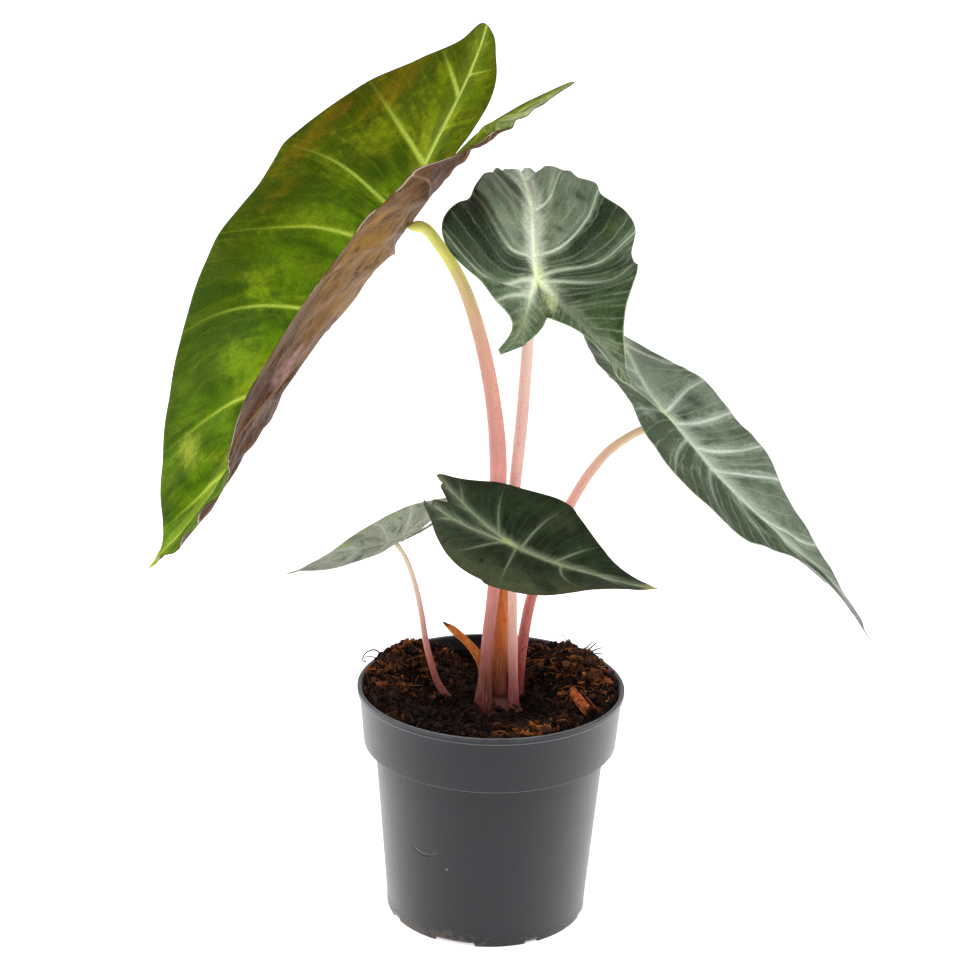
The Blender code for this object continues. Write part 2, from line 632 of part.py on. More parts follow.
def make_sheath(group):
    """Papery cataphyll that hugs the front of the middle stem and ends in a point."""
    points, _ = stem_points("petiole_2")
    heights = np.array(points)[:, 2]
    rows = []
    count = len(SHEATH_HALF_ANGLES)
    for i, half in enumerate(SHEATH_HALF_ANGLES):
        share = i / (count - 1)
        z = SHEATH_BASE + (SHEATH_TOP - SHEATH_BASE) * share
        x = float(np.interp(z, heights, np.array(points)[:, 0]))
        y = float(np.interp(z, heights, np.array(points)[:, 1]))
        row = []
        for k in range(SHEATH_COLUMNS + 1):
            turn = math.radians(-90 + half * (2 * k / SHEATH_COLUMNS - 1))
            r = SHEATH_INNER_RADIUS + 0.25 * math.sin(3 * turn + 4 * share) ** 2
            row.append((x + r * math.cos(turn), y + r * math.sin(turn), z))
        rows.append(row)
    return strip_solid("sheath", rows, SHEATH_THICKNESS, group,
                       material("sheath", COLOURS["sheath"], 0.6), 1.0)


def make_bract(group):
    """Dried scale, a strip curled along its length."""
    path = np.array(BRACT_PATH, float)
    at = np.linspace(0, len(path) - 1, 11)
    centre = smooth(np.arange(len(path)), path, at)
    tangent = unit(np.gradient(centre, axis=0))
    widths = smooth(np.arange(len(path)), BRACT_HALF_WIDTHS, at)
    rows = []
    for place, along, half in zip(centre, tangent, widths):
        side = unit(np.cross(along, (0.0, 1.0, 0.0)))
        row = []
        for k in range(7):
            u = k / 3 - 1
            curl = BRACT_CURL * half * (u * u - 1)
            row.append(place + side * half * u + np.array((0.0, -curl, 0.0)))
        rows.append(row)
    return strip_solid("bract", rows, BRACT_THICKNESS, group,
                       material("bract", COLOURS["bract"], 0.7), 0.0)


def make_chip(group):
    """Splinter of bark, flat below, tapered to its ends."""
    bpy.ops.mesh.primitive_cube_add(size=1.0)
    chip = bpy.context.active_object
    chip.name = "bark_chip"
    chip.data.name = "bark_chip"
    for owner in list(chip.users_collection):
        owner.objects.unlink(chip)
    group.objects.link(chip)
    work = bmesh.new()
    work.from_mesh(chip.data)
    bmesh.ops.subdivide_edges(work, edges=work.edges, cuts=3, use_grid_fill=True)
    length, width, height = CHIP_SIZE
    for vertex in work.verts:
        x, y, z = vertex.co
        taper = 1 - 1.6 * x * x
        rough = 0.08 * math.sin(9 * x + 5 * y) if z > 0 else 0.0
        vertex.co = (x * length * MM, y * width * taper * MM, (z + rough * (z + 0.5)) * height * MM)
    bmesh.ops.triangulate(work, faces=work.faces)
    work.to_mesh(chip.data)
    work.free()
    level = SOIL_LEVEL + 1.0 + FIT_GAP + CHIP_SIZE[2] / 2
    chip.location = (CHIP_PLACE[0] * MM, CHIP_PLACE[1] * MM, level * MM)
    chip.rotation_euler = (0.0, 0.0, math.radians(CHIP_TURN))
    chip.data.materials.append(material("bark_chip", COLOURS["bark_chip"], 0.85))
    return chip


def main():
    for old in list(bpy.data.objects):
        bpy.data.objects.remove(old)
    plant = bpy.data.collections.new("pink_dragon_alocasia")
    cutters = bpy.data.collections.new("cutters")
    bpy.context.scene.collection.children.link(plant)
    bpy.context.scene.collection.children.link(cutters)

    make_pot(plant, cutters)
    soil = make_soil(plant)
    stem_finish = material("petiole", COLOURS["petiole"], 0.4)
    for name in STEMS:
        points, radii = stem_points(name)
        tube(name, points, radii, plant, stem_finish)
    make_rhizome(plant, cutters)
    low = RHIZOME_PROFILE[-1][1] - FIT_GAP
    widest = max(r for r, _ in RHIZOME_PROFILE) + FIT_GAP + 0.2
    cut(soil, rod_cutter("hole_rhizome", (*STEM_AXIS, low), (*STEM_AXIS, POT_HEIGHT), widest, cutters,
                         RHIZOME_SIDES))
    points, radii = stem_points("petiole_5")
    direction = unit(points[1] - points[0])
    cut(soil, rod_cutter("hole_petiole_5", points[0] - direction * FIT_GAP, points[0] + direction * 24,
                         radii[0] * CUTTER_ROUND + FIT_GAP, cutters))
    for name in LEAVES:
        make_blade(name, plant)
    make_sheath(plant)
    make_bract(plant)
    make_chip(plant)


main()
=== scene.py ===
import math
import random

import bmesh
import bpy
import numpy as np
from mathutils import Matrix, Vector, noise


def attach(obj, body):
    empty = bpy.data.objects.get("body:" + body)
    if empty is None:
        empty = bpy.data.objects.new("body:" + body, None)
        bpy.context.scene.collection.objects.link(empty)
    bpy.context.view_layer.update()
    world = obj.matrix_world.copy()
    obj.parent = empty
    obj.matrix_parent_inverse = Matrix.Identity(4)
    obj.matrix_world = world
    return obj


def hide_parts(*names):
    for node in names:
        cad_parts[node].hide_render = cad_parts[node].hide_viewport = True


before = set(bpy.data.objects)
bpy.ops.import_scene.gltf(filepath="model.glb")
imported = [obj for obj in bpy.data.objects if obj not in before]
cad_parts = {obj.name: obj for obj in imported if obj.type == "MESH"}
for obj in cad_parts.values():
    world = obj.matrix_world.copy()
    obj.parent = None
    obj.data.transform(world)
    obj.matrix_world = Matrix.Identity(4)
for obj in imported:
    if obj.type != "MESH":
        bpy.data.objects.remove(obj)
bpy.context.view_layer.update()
MM = 0.001
dice = random.Random(12)

# Sizes, in millimetres

RIM_Z, STEP_Z = 109.5, 83.0
RIM_R, COLLAR_FOOT_R, BODY_TOP_R, BODY_FOOT_R, BASE_R = 60.0, 57.6, 52.3, 46.2, 43.5
WALL = 1.3
SOIL_LEVEL = 101.0
SOIL_R = 58.2
MOUNDS = [(-36, 26, 5, 15), (34, 30, 4.5, 14), (44, 4, 2, 12), (-20, -34, 2.5, 16),
          (22, -34, 2, 13), (-4, 44, -2.5, 12)]
STUMP = (3.5, 3.5)

# Stems: centre points from the soil up, radii, leaf, and colours from the soil to the leaf
STEMS = {
    "petiole_1": dict(
        path=[(-3.3, -5, 90), (-3.3, -5, 98.5), (-2.3, -5, 130), (-0.2, -4.5, 157), (0.9, -3.5, 196),
              (-0.5, -2.8, 230), (-4.2, -2, 254), (-9, -1.4, 274), (-17.3, -0.5, 297),
              (-26.6, 0.3, 312), (-35, 0.8, 320.6)],
        radii=(3.4, 2.9, 2.7, 3.1, 3.9, 3.5, 3.2, 2.8, 2.2), leaf="blade_1", foot=1.4,
        # the pale yellows at the top are the stem's own yellow-green, made brighter as painted light
        # shining through it
        colours=[(0, "#451c14"), (0.1, "#8a4a40"), (0.26, "#cb8279"), (0.46, "#d99188"),
                 (0.62, "#d9998b"), (0.74, "#dba58f"), (0.81, "#e2b897"), (0.87, "#ecd698"),
                 (0.93, "#fbfb84"), (1, "#ffff8c")], speckle=0.4),
    "petiole_2": dict(
        path=[(3.5, 3.5, 108), (3.5, 3.5, 113), (4.4, 3.2, 153), (8.6, 3, 210), (10.4, 2.5, 235),
              (11.5, 1, 258), (12.4, -2, 280), (13.4, -7, 296)],
        radii=(2.4, 2.6, 2.8, 2.4), leaf="blade_2", foot=1.1,
        colours=[(0, "#9a463c"), (0.12, "#c47c70"), (0.3, "#e0a59b"), (0.6, "#e3b8ad"), (0.92, "#e2c2b2"),
                 (1, "#d9dba6")], speckle=0.55),
    "petiole_3": dict(
        path=[(11.6, 8.8, 90), (11.9, 9.2, 98.5), (13.8, 11, 125), (17.5, 13, 148), (25, 16.5, 170),
              (34.5, 20, 192), (43, 23, 206), (51, 25.5, 215), (60.5, 27.5, 221.5),
              (67.5, 28.6, 225)],
        radii=(2.8, 2.5, 2.4, 1.8), leaf="blade_3", foot=1.15,
        colours=[(0, "#6d2c2a"), (0.18, "#ad5450"), (0.36, "#c9786f"), (0.6, "#e0a096"),
                 (0.8, "#e6b9a4"), (1, "#e8dca6")], speckle=1.3),
    "petiole_4": dict(
        path=[(10.3, 3.4, 90), (10.3, 2.2, 98.5), (9.7, -2, 120), (9.1, -5, 138), (8.4, -12, 160),
              (7.2, -20, 176), (6.4, -28, 184)],
        radii=(2.3, 2.1, 1.7), leaf="blade_4", foot=1.2,
        colours=[(0, "#8d3f3c"), (0.14, "#bd6f6c"), (0.4, "#dfaca2"), (0.8, "#e0bba6"),
                 (1, "#cfcf90")], speckle=0.4),
    "petiole_5": dict(
        path=[(-15.9, 4.6, 96.2), (-18.7, 4.6, 99.4), (-21.5, 4.6, 102.6), (-24.2, 4.6, 107),
              (-27, 4.5, 115), (-30, 4.2, 127), (-32.6, 3.7, 143), (-36, 3, 158),
              (-40, 2.5, 169)],
        radii=(1.7, 1.4, 1.1), leaf="blade_5", foot=1.1,
        colours=[(0, "#7d3c34"), (0.3, "#bd766c"), (0.6, "#d8ada2"), (1, "#e6e0c0")], speckle=0.7),
}

# Leaves: flat pattern in mm, midrib in space, fold of each half in degrees, and the side veins
# of each half from lobe to tip: (start along lobe vein -1..0 or midrib 0..1, end along the
# margin 0..1, backward bow, how far out the bow lies)
OUTLINE_STATIONS = (-1, -0.8, -0.45, -0.1, 0.12, 0.35, 0.6, 0.82, 0.94, 1.0)
MIDRIB_STATIONS = (-1, -0.5, 0, 0.3, 0.6, 0.82, 1.0)
FOLD_STATIONS = (-1, -0.4, 0, 0.35, 0.7, 1.0)
TIP_VEINS = [(0.7, 0.86, 0.14, 0), (0.85, 0.93, 0.1, 0)]
SMALL_VEINS = [(-0.5, 0.12, 0.05, 0), (-0.12, 0.26, 0.07, 0.1), (0.07, 0.47, 0.08, 0.2),
               (0.32, 0.65, 0.08, 0), (0.58, 0.79, 0.1, 0), (0.8, 0.9, 0.1, 0)]
LEAVES = {
    "blade_1": dict(
        length=191, lobes=(91, 91), sinus=38, facing=(-0.85, -0.1, 0.5), curl_width=80,
        midrib=[(16, 26, 383), (-17, 15, 355), (-43, 0, 320), (-76, -18, 278), (-107, -15, 230),
                (-130, -18, 195), (-152, -24, 170)],
        half_widths=[(49, 56, 80, 89, 81, 72, 61, 36, 6)] * 2, sinus_widths=[(31, 17, 4), (33, 22, 7)],
        fold=[[(27, 56), (15, 52), (39, 39), (46, 50), (36, 51), (12, 62)],
              [(-6, -1), (3, 8), (3, 29), (8, 26), (1, 19), (-8, 10)]],
        veins=[[(-0.65, 0.13, 0.02, 0), (-0.32, 0.21, 0.02, 0.3), (-0.04, 0.34, 0.07, 0.8),
                (0.06, 0.52, 0.15, 0.35), (0.26, 0.65, 0.14, 0), (0.5, 0.76, 0.16, -0.3)] + TIP_VEINS,
               [(-0.62, 0.14, 0.03, 0), (-0.3, 0.22, 0.03, 0.3), (-0.04, 0.34, 0.07, 0.6),
                (0.07, 0.5, 0.14, 0.3), (0.27, 0.64, 0.14, 0), (0.5, 0.76, 0.15, -0.2)] + TIP_VEINS],
        crumple=(1.2, 4.0), blunt=0.9, step=1.5, quilt=1.8, wave=1.1, rib_width=(1.9, 0.5),
        vein_width=(1.15, 0.45)),
    "blade_2": dict(
        length=112, lobes=(56, 31), sinus=18, facing=(0.4, -0.88, 0.25), curl_width=46,
        midrib=[(32, -34, 256), (23, -21, 278), (15, -15, 304), (12, 0, 332), (7, 31, 340), (9, 51, 326),
                (10, 64, 310)],
        half_widths=[(30, 28, 33, 48, 51, 48, 24, 13, 5), (34, 35, 25, 34, 47, 26, 14, 14, 5)],
        sinus_widths=[(23, 20, 11), (20, 18, 6)],
        fold=[[(-6, -9), (20, 6), (-2, -9), (-3, -4), (25, -10), (12, -1)],
              [(10, 3), (34, 11), (33, 16), (-11, -13), (-14, -13), (-23, -14)]],
        veins=[[(-0.6, 0.14, 0.02, 0), (-0.29, 0.25, 0, 0), (-0.06, 0.38, 0.18, 0.9),
                (-0.02, 0.52, 0.2, 0.9), (0.08, 0.62, 0.27, 0.38), (0.26, 0.7, 0.22, 0.3),
                (0.45, 0.8, 0.2, 0), (0.65, 0.88, 0.15, 0), (0.82, 0.95, 0.1, 0)],
               [(-0.6, 0.15, 0, 0), (-0.23, 0.31, -0.05, 0.1), (-0.07, 0.46, 0.19, 0.9),
                (0.06, 0.56, 0.3, 0.8), (0.26, 0.67, 0.2, 0.3), (0.45, 0.78, 0.2, 0),
                (0.65, 0.88, 0.15, 0), (0.82, 0.95, 0.1, 0)]],
        pleats=(((5, 2.6),), ((4, 2.6),)), crumple=(1.2, 1.2), step=0.9, quilt=1.3, wave=0.9,
        rib_width=(1.6, 0.4), vein_width=(0.7, 0.3)),
    "blade_3": dict(
        length=139, lobes=(54, 54), sinus=33, facing=(0.55, -0.5, 0.65), curl_width=40,
        midrib=[(44, 60, 260), (58, 44, 244), (76, 28, 231), (101, 6, 208), (130, -11, 185),
                (151, -26, 169), (166, -33, 149)],
        half_widths=[(17, 26, 36, 42, 42, 40, 28, 9, 1.4)] * 2, sinus_widths=[(9, 4, 1)] * 2, thread=0.4,
        fold=[[(30, 18), (26, 34), (23, 27), (17, 17), (29, 18), (50, 30)],
              [(-12, 0), (1, 2), (-6, 0), (-11, 2), (-29, -6), (-12, -13)]],
        veins=[[(-0.6, 0.15, 0, 0), (-0.3, 0.26, 0, 0), (-0.03, 0.38, 0.04, 0.3), (0.11, 0.51, 0.04, 0),
                (0.24, 0.6, 0.08, 0.3), (0.36, 0.67, -0.03, 0), (0.55, 0.76, 0.05, 0),
                (0.75, 0.86, 0.05, 0)],
               [(-0.87, 0.2, -0.11, 0.6), (-0.03, 0.3, 0.04, 0.6), (0.04, 0.4, -0.04, -0.5),
                (0.15, 0.5, -0.03, -0.2), (0.25, 0.58, 0.03, 0), (0.47, 0.68, -0.08, 0.4),
                (0.68, 0.8, 0, 0), (0.83, 0.9, 0, 0)]],
        crumple=(0.9, 0.9), step=0.9, quilt=1.1, wave=0.8, rib_width=(1.4, 0.35),
        vein_width=(0.75, 0.35)),
    "blade_4": dict(
        length=69, lobes=(42, 42), sinus=32, facing=(0.05, -0.6, 0.8), curl_width=28,
        midrib=[(-28, -33, 215), (-12, -33, 201), (6, -35, 191), (24, -43, 186), (44, -48, 182),
                (59, -50, 179), (71, -52, 178)],
        half_widths=[(9, 16, 25, 29, 32, 28, 18, 8, 2)] * 2, blunt=0.8, thread=0.35,
        sinus_widths=[(9, 5, 2)] * 2,
        fold=[[(18, 2), (16, 6), (24, 14), (30, 19), (41, 31), (41, 36)],
              [(-22, -14), (-10, -3), (-4, 1), (-10, 0), (-29, -15), (-32, -23)]],
        veins=[[(-0.62, 0.1, 0.05, 0), (-0.03, 0.2, 0.02, 0), (0.06, 0.48, 0.02, 0),
                (0.37, 0.66, 0.18, 0.4), (0.62, 0.8, 0.1, 0), (0.82, 0.9, 0.1, 0)],
               [(-0.62, 0.12, 0, 0), (-0.12, 0.27, 0.07, 0), (0.09, 0.48, 0.08, 0.2),
                (0.32, 0.65, 0.04, 0), (0.6, 0.8, 0.1, 0), (0.82, 0.9, 0.1, 0)]],
        step=0.7, quilt=0.6, wave=0.4, rib_width=(1.1, 0.3), vein_width=(0.5, 0.22)),
    "blade_5": dict(
        length=52, lobes=(30, 30), sinus=12, facing=(-0.1, -0.25, 0.95), curl_width=21,
        midrib=[(-20, -2, 192), (-32, 1, 184), (-45, 2, 177), (-60, 1, 173), (-74, -2, 168),
                (-85, -4, 165), (-94, -7, 163)],
        half_widths=[(11, 13, 17, 20, 21, 19, 14, 6, 1.2)] * 2, thread=0.3, sinus_widths=[(7, 4, 1)] * 2,
        fold=[[(6, 9), (9, 10), (1, 3), (-14, -10), (-27, -19), (-39, -27)],
              [(35, 31), (29, 29), (27, 28), (19, 20), (21, 15), (36, 22)]],
        veins=[SMALL_VEINS, SMALL_VEINS], step=0.6, quilt=0.5, wave=0.4, rib_width=(0.9, 0.3),
        vein_width=(0.45, 0.2)),
}

# Leaf colours, read as the eye sees them under soft white light. A shade is (start, end, colour,
# amount) across the leaf or along it, a cloud is (a, w, length, width, amount, colour). What most
# leaves share stands in the common look
COMMON_LOOK = dict(ior=1.45, panel_rows=None, panel_amount=0.0, haze_and_sheen_sides=(1, 1), fleck=0.35, lines=4,
                   line_amount=0.3, vein_side=1.0, crumpled=0.3, under_wax=0.3, under_clouds=())
LOOKS = {
    "blade_1": dict(
        # blade_1's greens are its own green, made brighter and yellower as painted light shining through
        # the thin leaf
        slot="leaf_green", green="#567606", deep="#465f05", dark="#263e02", dark_amount=0.7,
        glow="#8b9c12", glow_at=(0.3, 0.95), glow_amount=0.6, haze="#8ba41a", haze_amount=0.5,
        vein_haze=3.0, rib_haze=(9, 9), lobe_haze=0.6, near_rib="#93a83a", rib_glow=0.45, lobe_vein=1.0,
        side_shade=(26, 64, "#364203", 0.8), lobe_shade=(-45, 25, "#4f4b02", 0.75), line="#8c9e20",
        line_amount=0.1, vein="#a9ba48", rib="#b5c65c", vein_soft=1.7, vein_amount=0.9, vein_end=0.1,
        margin="#43400c", heart="#b9cc50", heart_size=15, tip="#a3ab38", tip_from=0.93,
        clouds=[(-75, -60, 34, 26, 0.85, "#b2ba86"), (-50, 66, 26, 13, 0.55, "#765c08"),
                (-34, 78, 14, 8, 0.7, "#38330a"), (-32, 52, 16, 20, 0.5, "#869010"),
                (12, 68, 20, 10, 0.55, "#6d5c06"), (95, 26, 14, 20, 0.5, "#7b9614"),
                (60, 40, 14, 12, 0.4, "#8a9a1a"), (140, 26, 10, 14, 0.65, "#9aa336"),
                (152, 18, 5, 12, 0.8, "#203c08"), (114, 32, 12, 18, 0.7, "#243f04"),
                (-16, 34, 18, 12, 0.65, "#223f04"), (36, 22, 16, 8, 0.5, "#2a4804"),
                (-62, 34, 16, 8, 0.6, "#2c4406"), (68, 60, 20, 10, 0.5, "#35420a"),
                (-12, 80, 44, 9, 0.5, "#7a5c06"), (-70, 40, 14, 9, 0.5, "#4f5606"),
                (128, 20, 10, 14, 0.5, "#2c4a06")],
        wax=0.1, ior=1.2, gloss=0.45, under="#361c13", under_light="#5f4028", under_dark="#180a06",
        crumpled=0.7,
        # the two pale pinkish patches, at a = 20 and a = 72, are painted highlights where the underside
        # turns away
        under_clouds=[(-16, -62, 16, 14, 0.8, "#2a130c"), (26, -60, 20, 14, 0.75, "#85621a"),
                      (20, -20, 24, 13, 0.6, "#a9826e"), (55, -58, 14, 12, 0.85, "#30140d"),
                      (72, -40, 18, 9, 0.75, "#b8918c"), (84, -68, 24, 14, 0.75, "#3a1a13")],
        under_vein="#7d5c40", under_gold="#8a6526", under_glow=(30, 50), under_edge="#d6bfb9",
        under_wax=0.12),
    "blade_2": dict(
        slot="leaf_silver", green="#425535", deep="#2f4126", dark="#1a2912", dark_amount=0.85,
        glow="#6f7e5c", glow_at=(0.3, 1.2), glow_amount=0.45, haze="#8d9b80", haze_amount=0.95,
        vein_haze=2.6, rib_haze=(7, 8), lobe_haze=0.1, near_rib="#cbd4c0", rib_glow=0.85,
        panel_rows=(5.0, 4.0), panel_amount=0.8, lobe_vein=0.12, fleck=0.3,
        side_shade=(22, 30, "#2c3d1c", 0.5), lobe_shade=(-24, -6, "#34481f", 0.95), line="#97a68a",
        vein="#c3cdb4", rib="#dfe8c4", vein_soft=2.2, vein_amount=0.85, vein_end=0.5, margin="#a9b795",
        heart="#d3e584", heart_size=13, tip="#7f8c70", tip_from=0.95,
        clouds=[(17, 21, 6, 6, 0.9, "#18260e"), (46, 24, 7, 5, 0.9, "#1b2a10"),
                (22, 12, 3, 5, 0.8, "#20301a"), (30, 38, 14, 8, 0.7, "#4d6414"),
                (3, 24, 4, 9, 0.8, "#22331a"), (-11, 3, 7, 8, 0.9, "#b3be86"),
                (-19, -27, 9, 9, 0.85, "#3f5426"), (12, -38, 14, 8, 0.7, "#2c3c28"),
                (-14, -14, 6, 12, 0.6, "#7b8c58")],
        wax=0.15, gloss=0.4, under="#4d5a3e", under_light="#7c8868", under_dark="#37432d", crumpled=0.2,
        under_vein="#a3ac8c", under_gold="#8c9676", under_glow=(40, 40), under_edge="#b4bca6",
        under_wax=0.25),
    "blade_3": dict(
        slot="leaf_grey", green="#67745e", deep="#55634c", dark="#35442d", dark_amount=0.6,
        glow="#84917b", glow_at=(0.4, 1.3), glow_amount=0.45, haze="#a0a998", haze_amount=0.85,
        vein_haze=4.5, rib_haze=(5, 12), lobe_haze=0.6, near_rib="#aab3a0", rib_glow=0.7,
        # blade_3's silver haze is kept to its -w half, where it is partly its own silvering and partly
        # painted sheen
        haze_and_sheen_sides=(0.06, 1), lobe_vein=0.7, fleck=0.3, side_shade=(0, 6, "#293b18", 1.0),
        # the lobes, half hidden behind blade_2's lobe, are darkened as painted shade, and so is the dark
        # purplish patch at a = -37
        lobe_shade=(-42, -24, "#3c4236", 0.85), line="#a5b09d", line_amount=0.25, vein="#c3ccbc",
        rib="#c6d1ae", vein_soft=2.8, vein_amount=0.85, vein_end=0.75, margin="#c2c9ba", heart="#c2d090",
        heart_size=8, tip="#7d7779", tip_from=0.72,
        clouds=[(-3, -24, 8, 9, 1.0, "#2f3d28"), (2.8, -9.5, 7, 7, 1.0, "#2b3924"),
                (-24, -30, 5, 8, 0.7, "#4a5742"), (-37, 27, 12, 9, 1.0, "#332d30")],
        vein_side=0.4, wax=0.2, gloss=0.42, under="#57484b", under_light="#7d7577", under_dark="#3c3133",
        under_vein="#979093", under_gold="#857d80", under_glow=(100, 40), under_edge="#aaa2a4"),
    "blade_4": dict(
        slot="leaf_dark", green="#27361d", deep="#1d2a14", dark="#10190a", dark_amount=0.7,
        glow="#46523a", glow_at=(0.4, 1.1), glow_amount=0.4, haze="#66725a", haze_amount=0.6,
        vein_haze=2.2, rib_haze=(4.5, 4.5), lobe_haze=0.7, near_rib="#828e74", rib_glow=0.7,
        lobe_vein=0.8, side_shade=(10, 26, "#545a3e", 0.75), lobe_shade=(-40, -10, "#26331e", 0.5),
        line="#3f5033", lines=5, vein="#8d997c", rib="#a3b084", vein_soft=2.3, vein_amount=0.62,
        vein_end=0.05, margin="#4a3a20", heart="#bccf70", heart_size=7, tip="#b9b070", tip_from=0.86,
        clouds=[(38, 20, 10, 6, 0.4, "#4e3f28"), (20, -22, 16, 8, 0.5, "#434a30")], wax=0.15, gloss=0.38,
        under="#49351f", under_light="#6b553a", under_dark="#2f2115", under_vein="#7c6c4e",
        under_gold="#6b553a", under_glow=(30, 30), under_edge="#8a7a60"),
    "blade_5": dict(
        slot="leaf_pale", green="#bac3b0", deep="#a2ad96", dark="#55654a", dark_amount=0.75,
        glow="#a3b088", glow_at=(0.5, 1.2), glow_amount=0.5, haze="#d3d8cc", haze_amount=0.85,
        vein_haze=3.0, rib_haze=(4, 4), lobe_haze=0.8, near_rib="#bcc4b4", rib_glow=0.7, lobe_vein=0.8,
        side_shade=(12, 20, "#8fa356", 0.5), lobe_shade=(-30, -5, "#7d8b74", 0.5), line="#a9b49b",
        vein="#c5cdbb", rib="#c8d0bb", vein_soft=2.4, vein_amount=0.8, vein_end=0.7, margin="#bcc3ae",
        heart="#cbd5a2", heart_size=6, tip="#b3a8a2", tip_from=0.8,
        clouds=[(22, 13, 9, 5, 0.7, "#86a340")], wax=0.2, gloss=0.44, under="#3a2920",
        under_light="#75695d", under_dark="#251a14", under_vein="#8d8375", under_gold="#5c4c40",
        under_glow=(20, 20), under_edge="#9a9084"),
}

# Places on the soil, in millimetres: round what stands in it (x, y, radius), where loose matter
# gathers (x, y, spread), and the longest threads
CHIP_PLACE = (41.5, -25)
KEEP_CLEAR = [(-3, -6, 5), (12, 9, 3.5), (10.5, 2.2, 3.2), (-20.5, 4.6, 2.6), (3.5, 3.5, 5.5),
              (-2.5, 9.8, 2.6)]
TUFTS = [(-44, 34, 6), (-50, 18, 5), (38, 40, 6), (46, 34, 4), (40, 26, 6), (15, -45, 6), (20, -46, 5),
         (-17, 28, 6), (14, 24, 7), (50, 4, 6), (-46, 0, 8), (-14, 12, 5)]
# Height of the soil over its middle where it meets the pot, by direction in degrees
RIM_HEAPS = [(-180, 12), (-150, 11), (-120, 9), (-90, 8), (-60, 9), (-30, 11), (-10, 12), (12, 12.5),
             (30, 13.5), (45, 14), (60, 11.5), (70, 8.5), (78, -1), (84, -3), (104, -3), (110, 2),
             (116, 8.5), (130, 12.5), (145, 14.5), (160, 13), (180, 12)]
# Dry, red-brown places on the soil and wet, near-black ones: x, y, spread
WARM = [(46, 16, 13), (16, -48, 8), (-50, 8, 8), (-42, 34, 7), (42, 36, 9), (26, -46, 7), (40, 2, 10)]
DAMP = [(-16, -34, 16), (12, -22, 12), (-8, 6, 9), (20, 2, 10), (-30, -22, 10), (0, 30, 12)]
LONG_FIBRES = [
    ([(-38, 39, 110), (-38.4, 40, 115), (-38.2, 40, 118), (-40, 40, 121)], 0.1),
    ([(-41, 40, 122), (-42.5, 40, 124), (-44, 40, 125), (-44, 40, 127)], 0.08),
    ([(-50, 22, 112), (-54, 22, 115.5), (-58, 20, 115), (-60, 19, 111.5), (-57, 19, 110.5)], 0.4),
    ([(-51, 18, 112), (-56, 19, 113.5), (-59, 18, 113), (-58, 17, 111)], 0.3),
    ([(42, 36, 110), (46, 37, 113), (49, 37, 116)], 0.5),
    ([(43, 35, 110), (48, 35, 113), (51.5, 36, 114)], 0.5),
    ([(42, 34, 110), (48, 33, 112), (52.5, 33, 112)], 0.45),
    ([(41, 38, 110), (45, 39, 113), (47, 39, 116)], 0.4),
    ([(8, -44, 103), (14, -47, 107), (20, -46, 107), (27, -42, 104)], 0.3),
]
# Steps along a midrib and along a side vein's course; rows and sides of a stem; sides of the pot
MIDRIB_STEPS, COURSE_STEPS, STEM_ROWS, STEM_SIDES, POT_SIDES = 161, 8001, 130, 32, 192
# Drainage notches round the foot, and the number of the wide one that the photo shows
NOTCHES, WIDE_NOTCH = 8, 5
SHEATH_FOOT, SHEATH_RISE = 104.5, 61.5
# Marks on the pot's front: middle and radius of the knocked crescent, and the small pale nick
KNOCK_AT, KNOCK_R = (-27.0, -39.2, 52.0), 9.0
NICK_AT = (-17.6, -46.0, 38.5)
# Loose bits: how many of each, how far out they are strewn and where the last may lie
CRUMBS, FIBRES, SHREDS = 900, 1900, 330
STREWN_R, LOOSE_END = 55, 55.2
# Threads: bends in each, and how far out they may run before the pot's wall turns them in
THREAD_BENDS, THREAD_END = 6, 56.0
# The photograph's camera, worked out from the pot's rim and foot: its place in metres, its right,
# up and forward directions, and its lens on a 36 mm wide film
CAMERA_PLACE = (0.0, -1.009105, 0.547241)
CAMERA_AXES = ((0.9996328, 0.0111859, 0.0246810), (-0.0269710, 0.3227976, 0.9460837),
               (-0.0026158, 0.9464019, -0.3229807))
CAMERA_LENS, FILM_WIDTH = 88.4, 36.0
FLOOR_GLOW, WORLD_LIGHT, OVERHEAD_LIGHT = 0.55, 0.5, 1.0
# Soft boxes: name, place, size and power
SOFT_BOXES = [("key_left", (-0.9, -1.0, 1.2), (0.7, 0.9), 4.5),
              ("fill_right", (1.2, -0.6, 0.7), (0.5, 0.9), 2.5),
              ("rim_left", (-1.1, 0.2, 0.45), (0.9, 1.3), 9.5),
              ("rim_right", (1.1, 0.2, 0.45), (0.9, 1.3), 10.5)]


# Building tools

RANGE, MATH, NOISE = "ShaderNodeMapRange", "ShaderNodeMath", "ShaderNodeTexNoise"
SOFT = dict(interpolation_type="SMOOTHSTEP")


def colour(code):
    """An sRGB hex value as linear RGBA."""
    parts = [int(code[i:i + 2], 16) / 255 for i in (1, 3, 5)]
    return (*(c / 12.92 if c <= 0.04045 else ((c + 0.055) / 1.055) ** 2.4 for c in parts), 1.0)


def add(tree, kind, links=None, out=None, **settings):
    """Add a node with its settings and what feeds its inputs; gives the node or one output."""
    made = tree.nodes.new(kind)
    for name, value in settings.items():
        setattr(made, name, value)
    for name, value in (links or {}).items():
        if isinstance(value, bpy.types.Node):
            value = value.outputs[0]
        if isinstance(value, bpy.types.NodeSocket):
            tree.links.new(value, made.inputs[name])
        elif isinstance(value, str):
            made.inputs[name].default_value = colour(value)
        else:
            made.inputs[name].default_value = value
    return made if out is None else made.outputs[out]


def link(tree, source, socket):
    """Feed a socket from a node's first output or from a given output."""
    tree.links.new(source.outputs[0] if isinstance(source, bpy.types.Node) else source, socket)


def placed(name, data):
    """New object in the scene."""
    made = bpy.data.objects.new(name, data)
    bpy.context.scene.collection.objects.link(made)
    return made


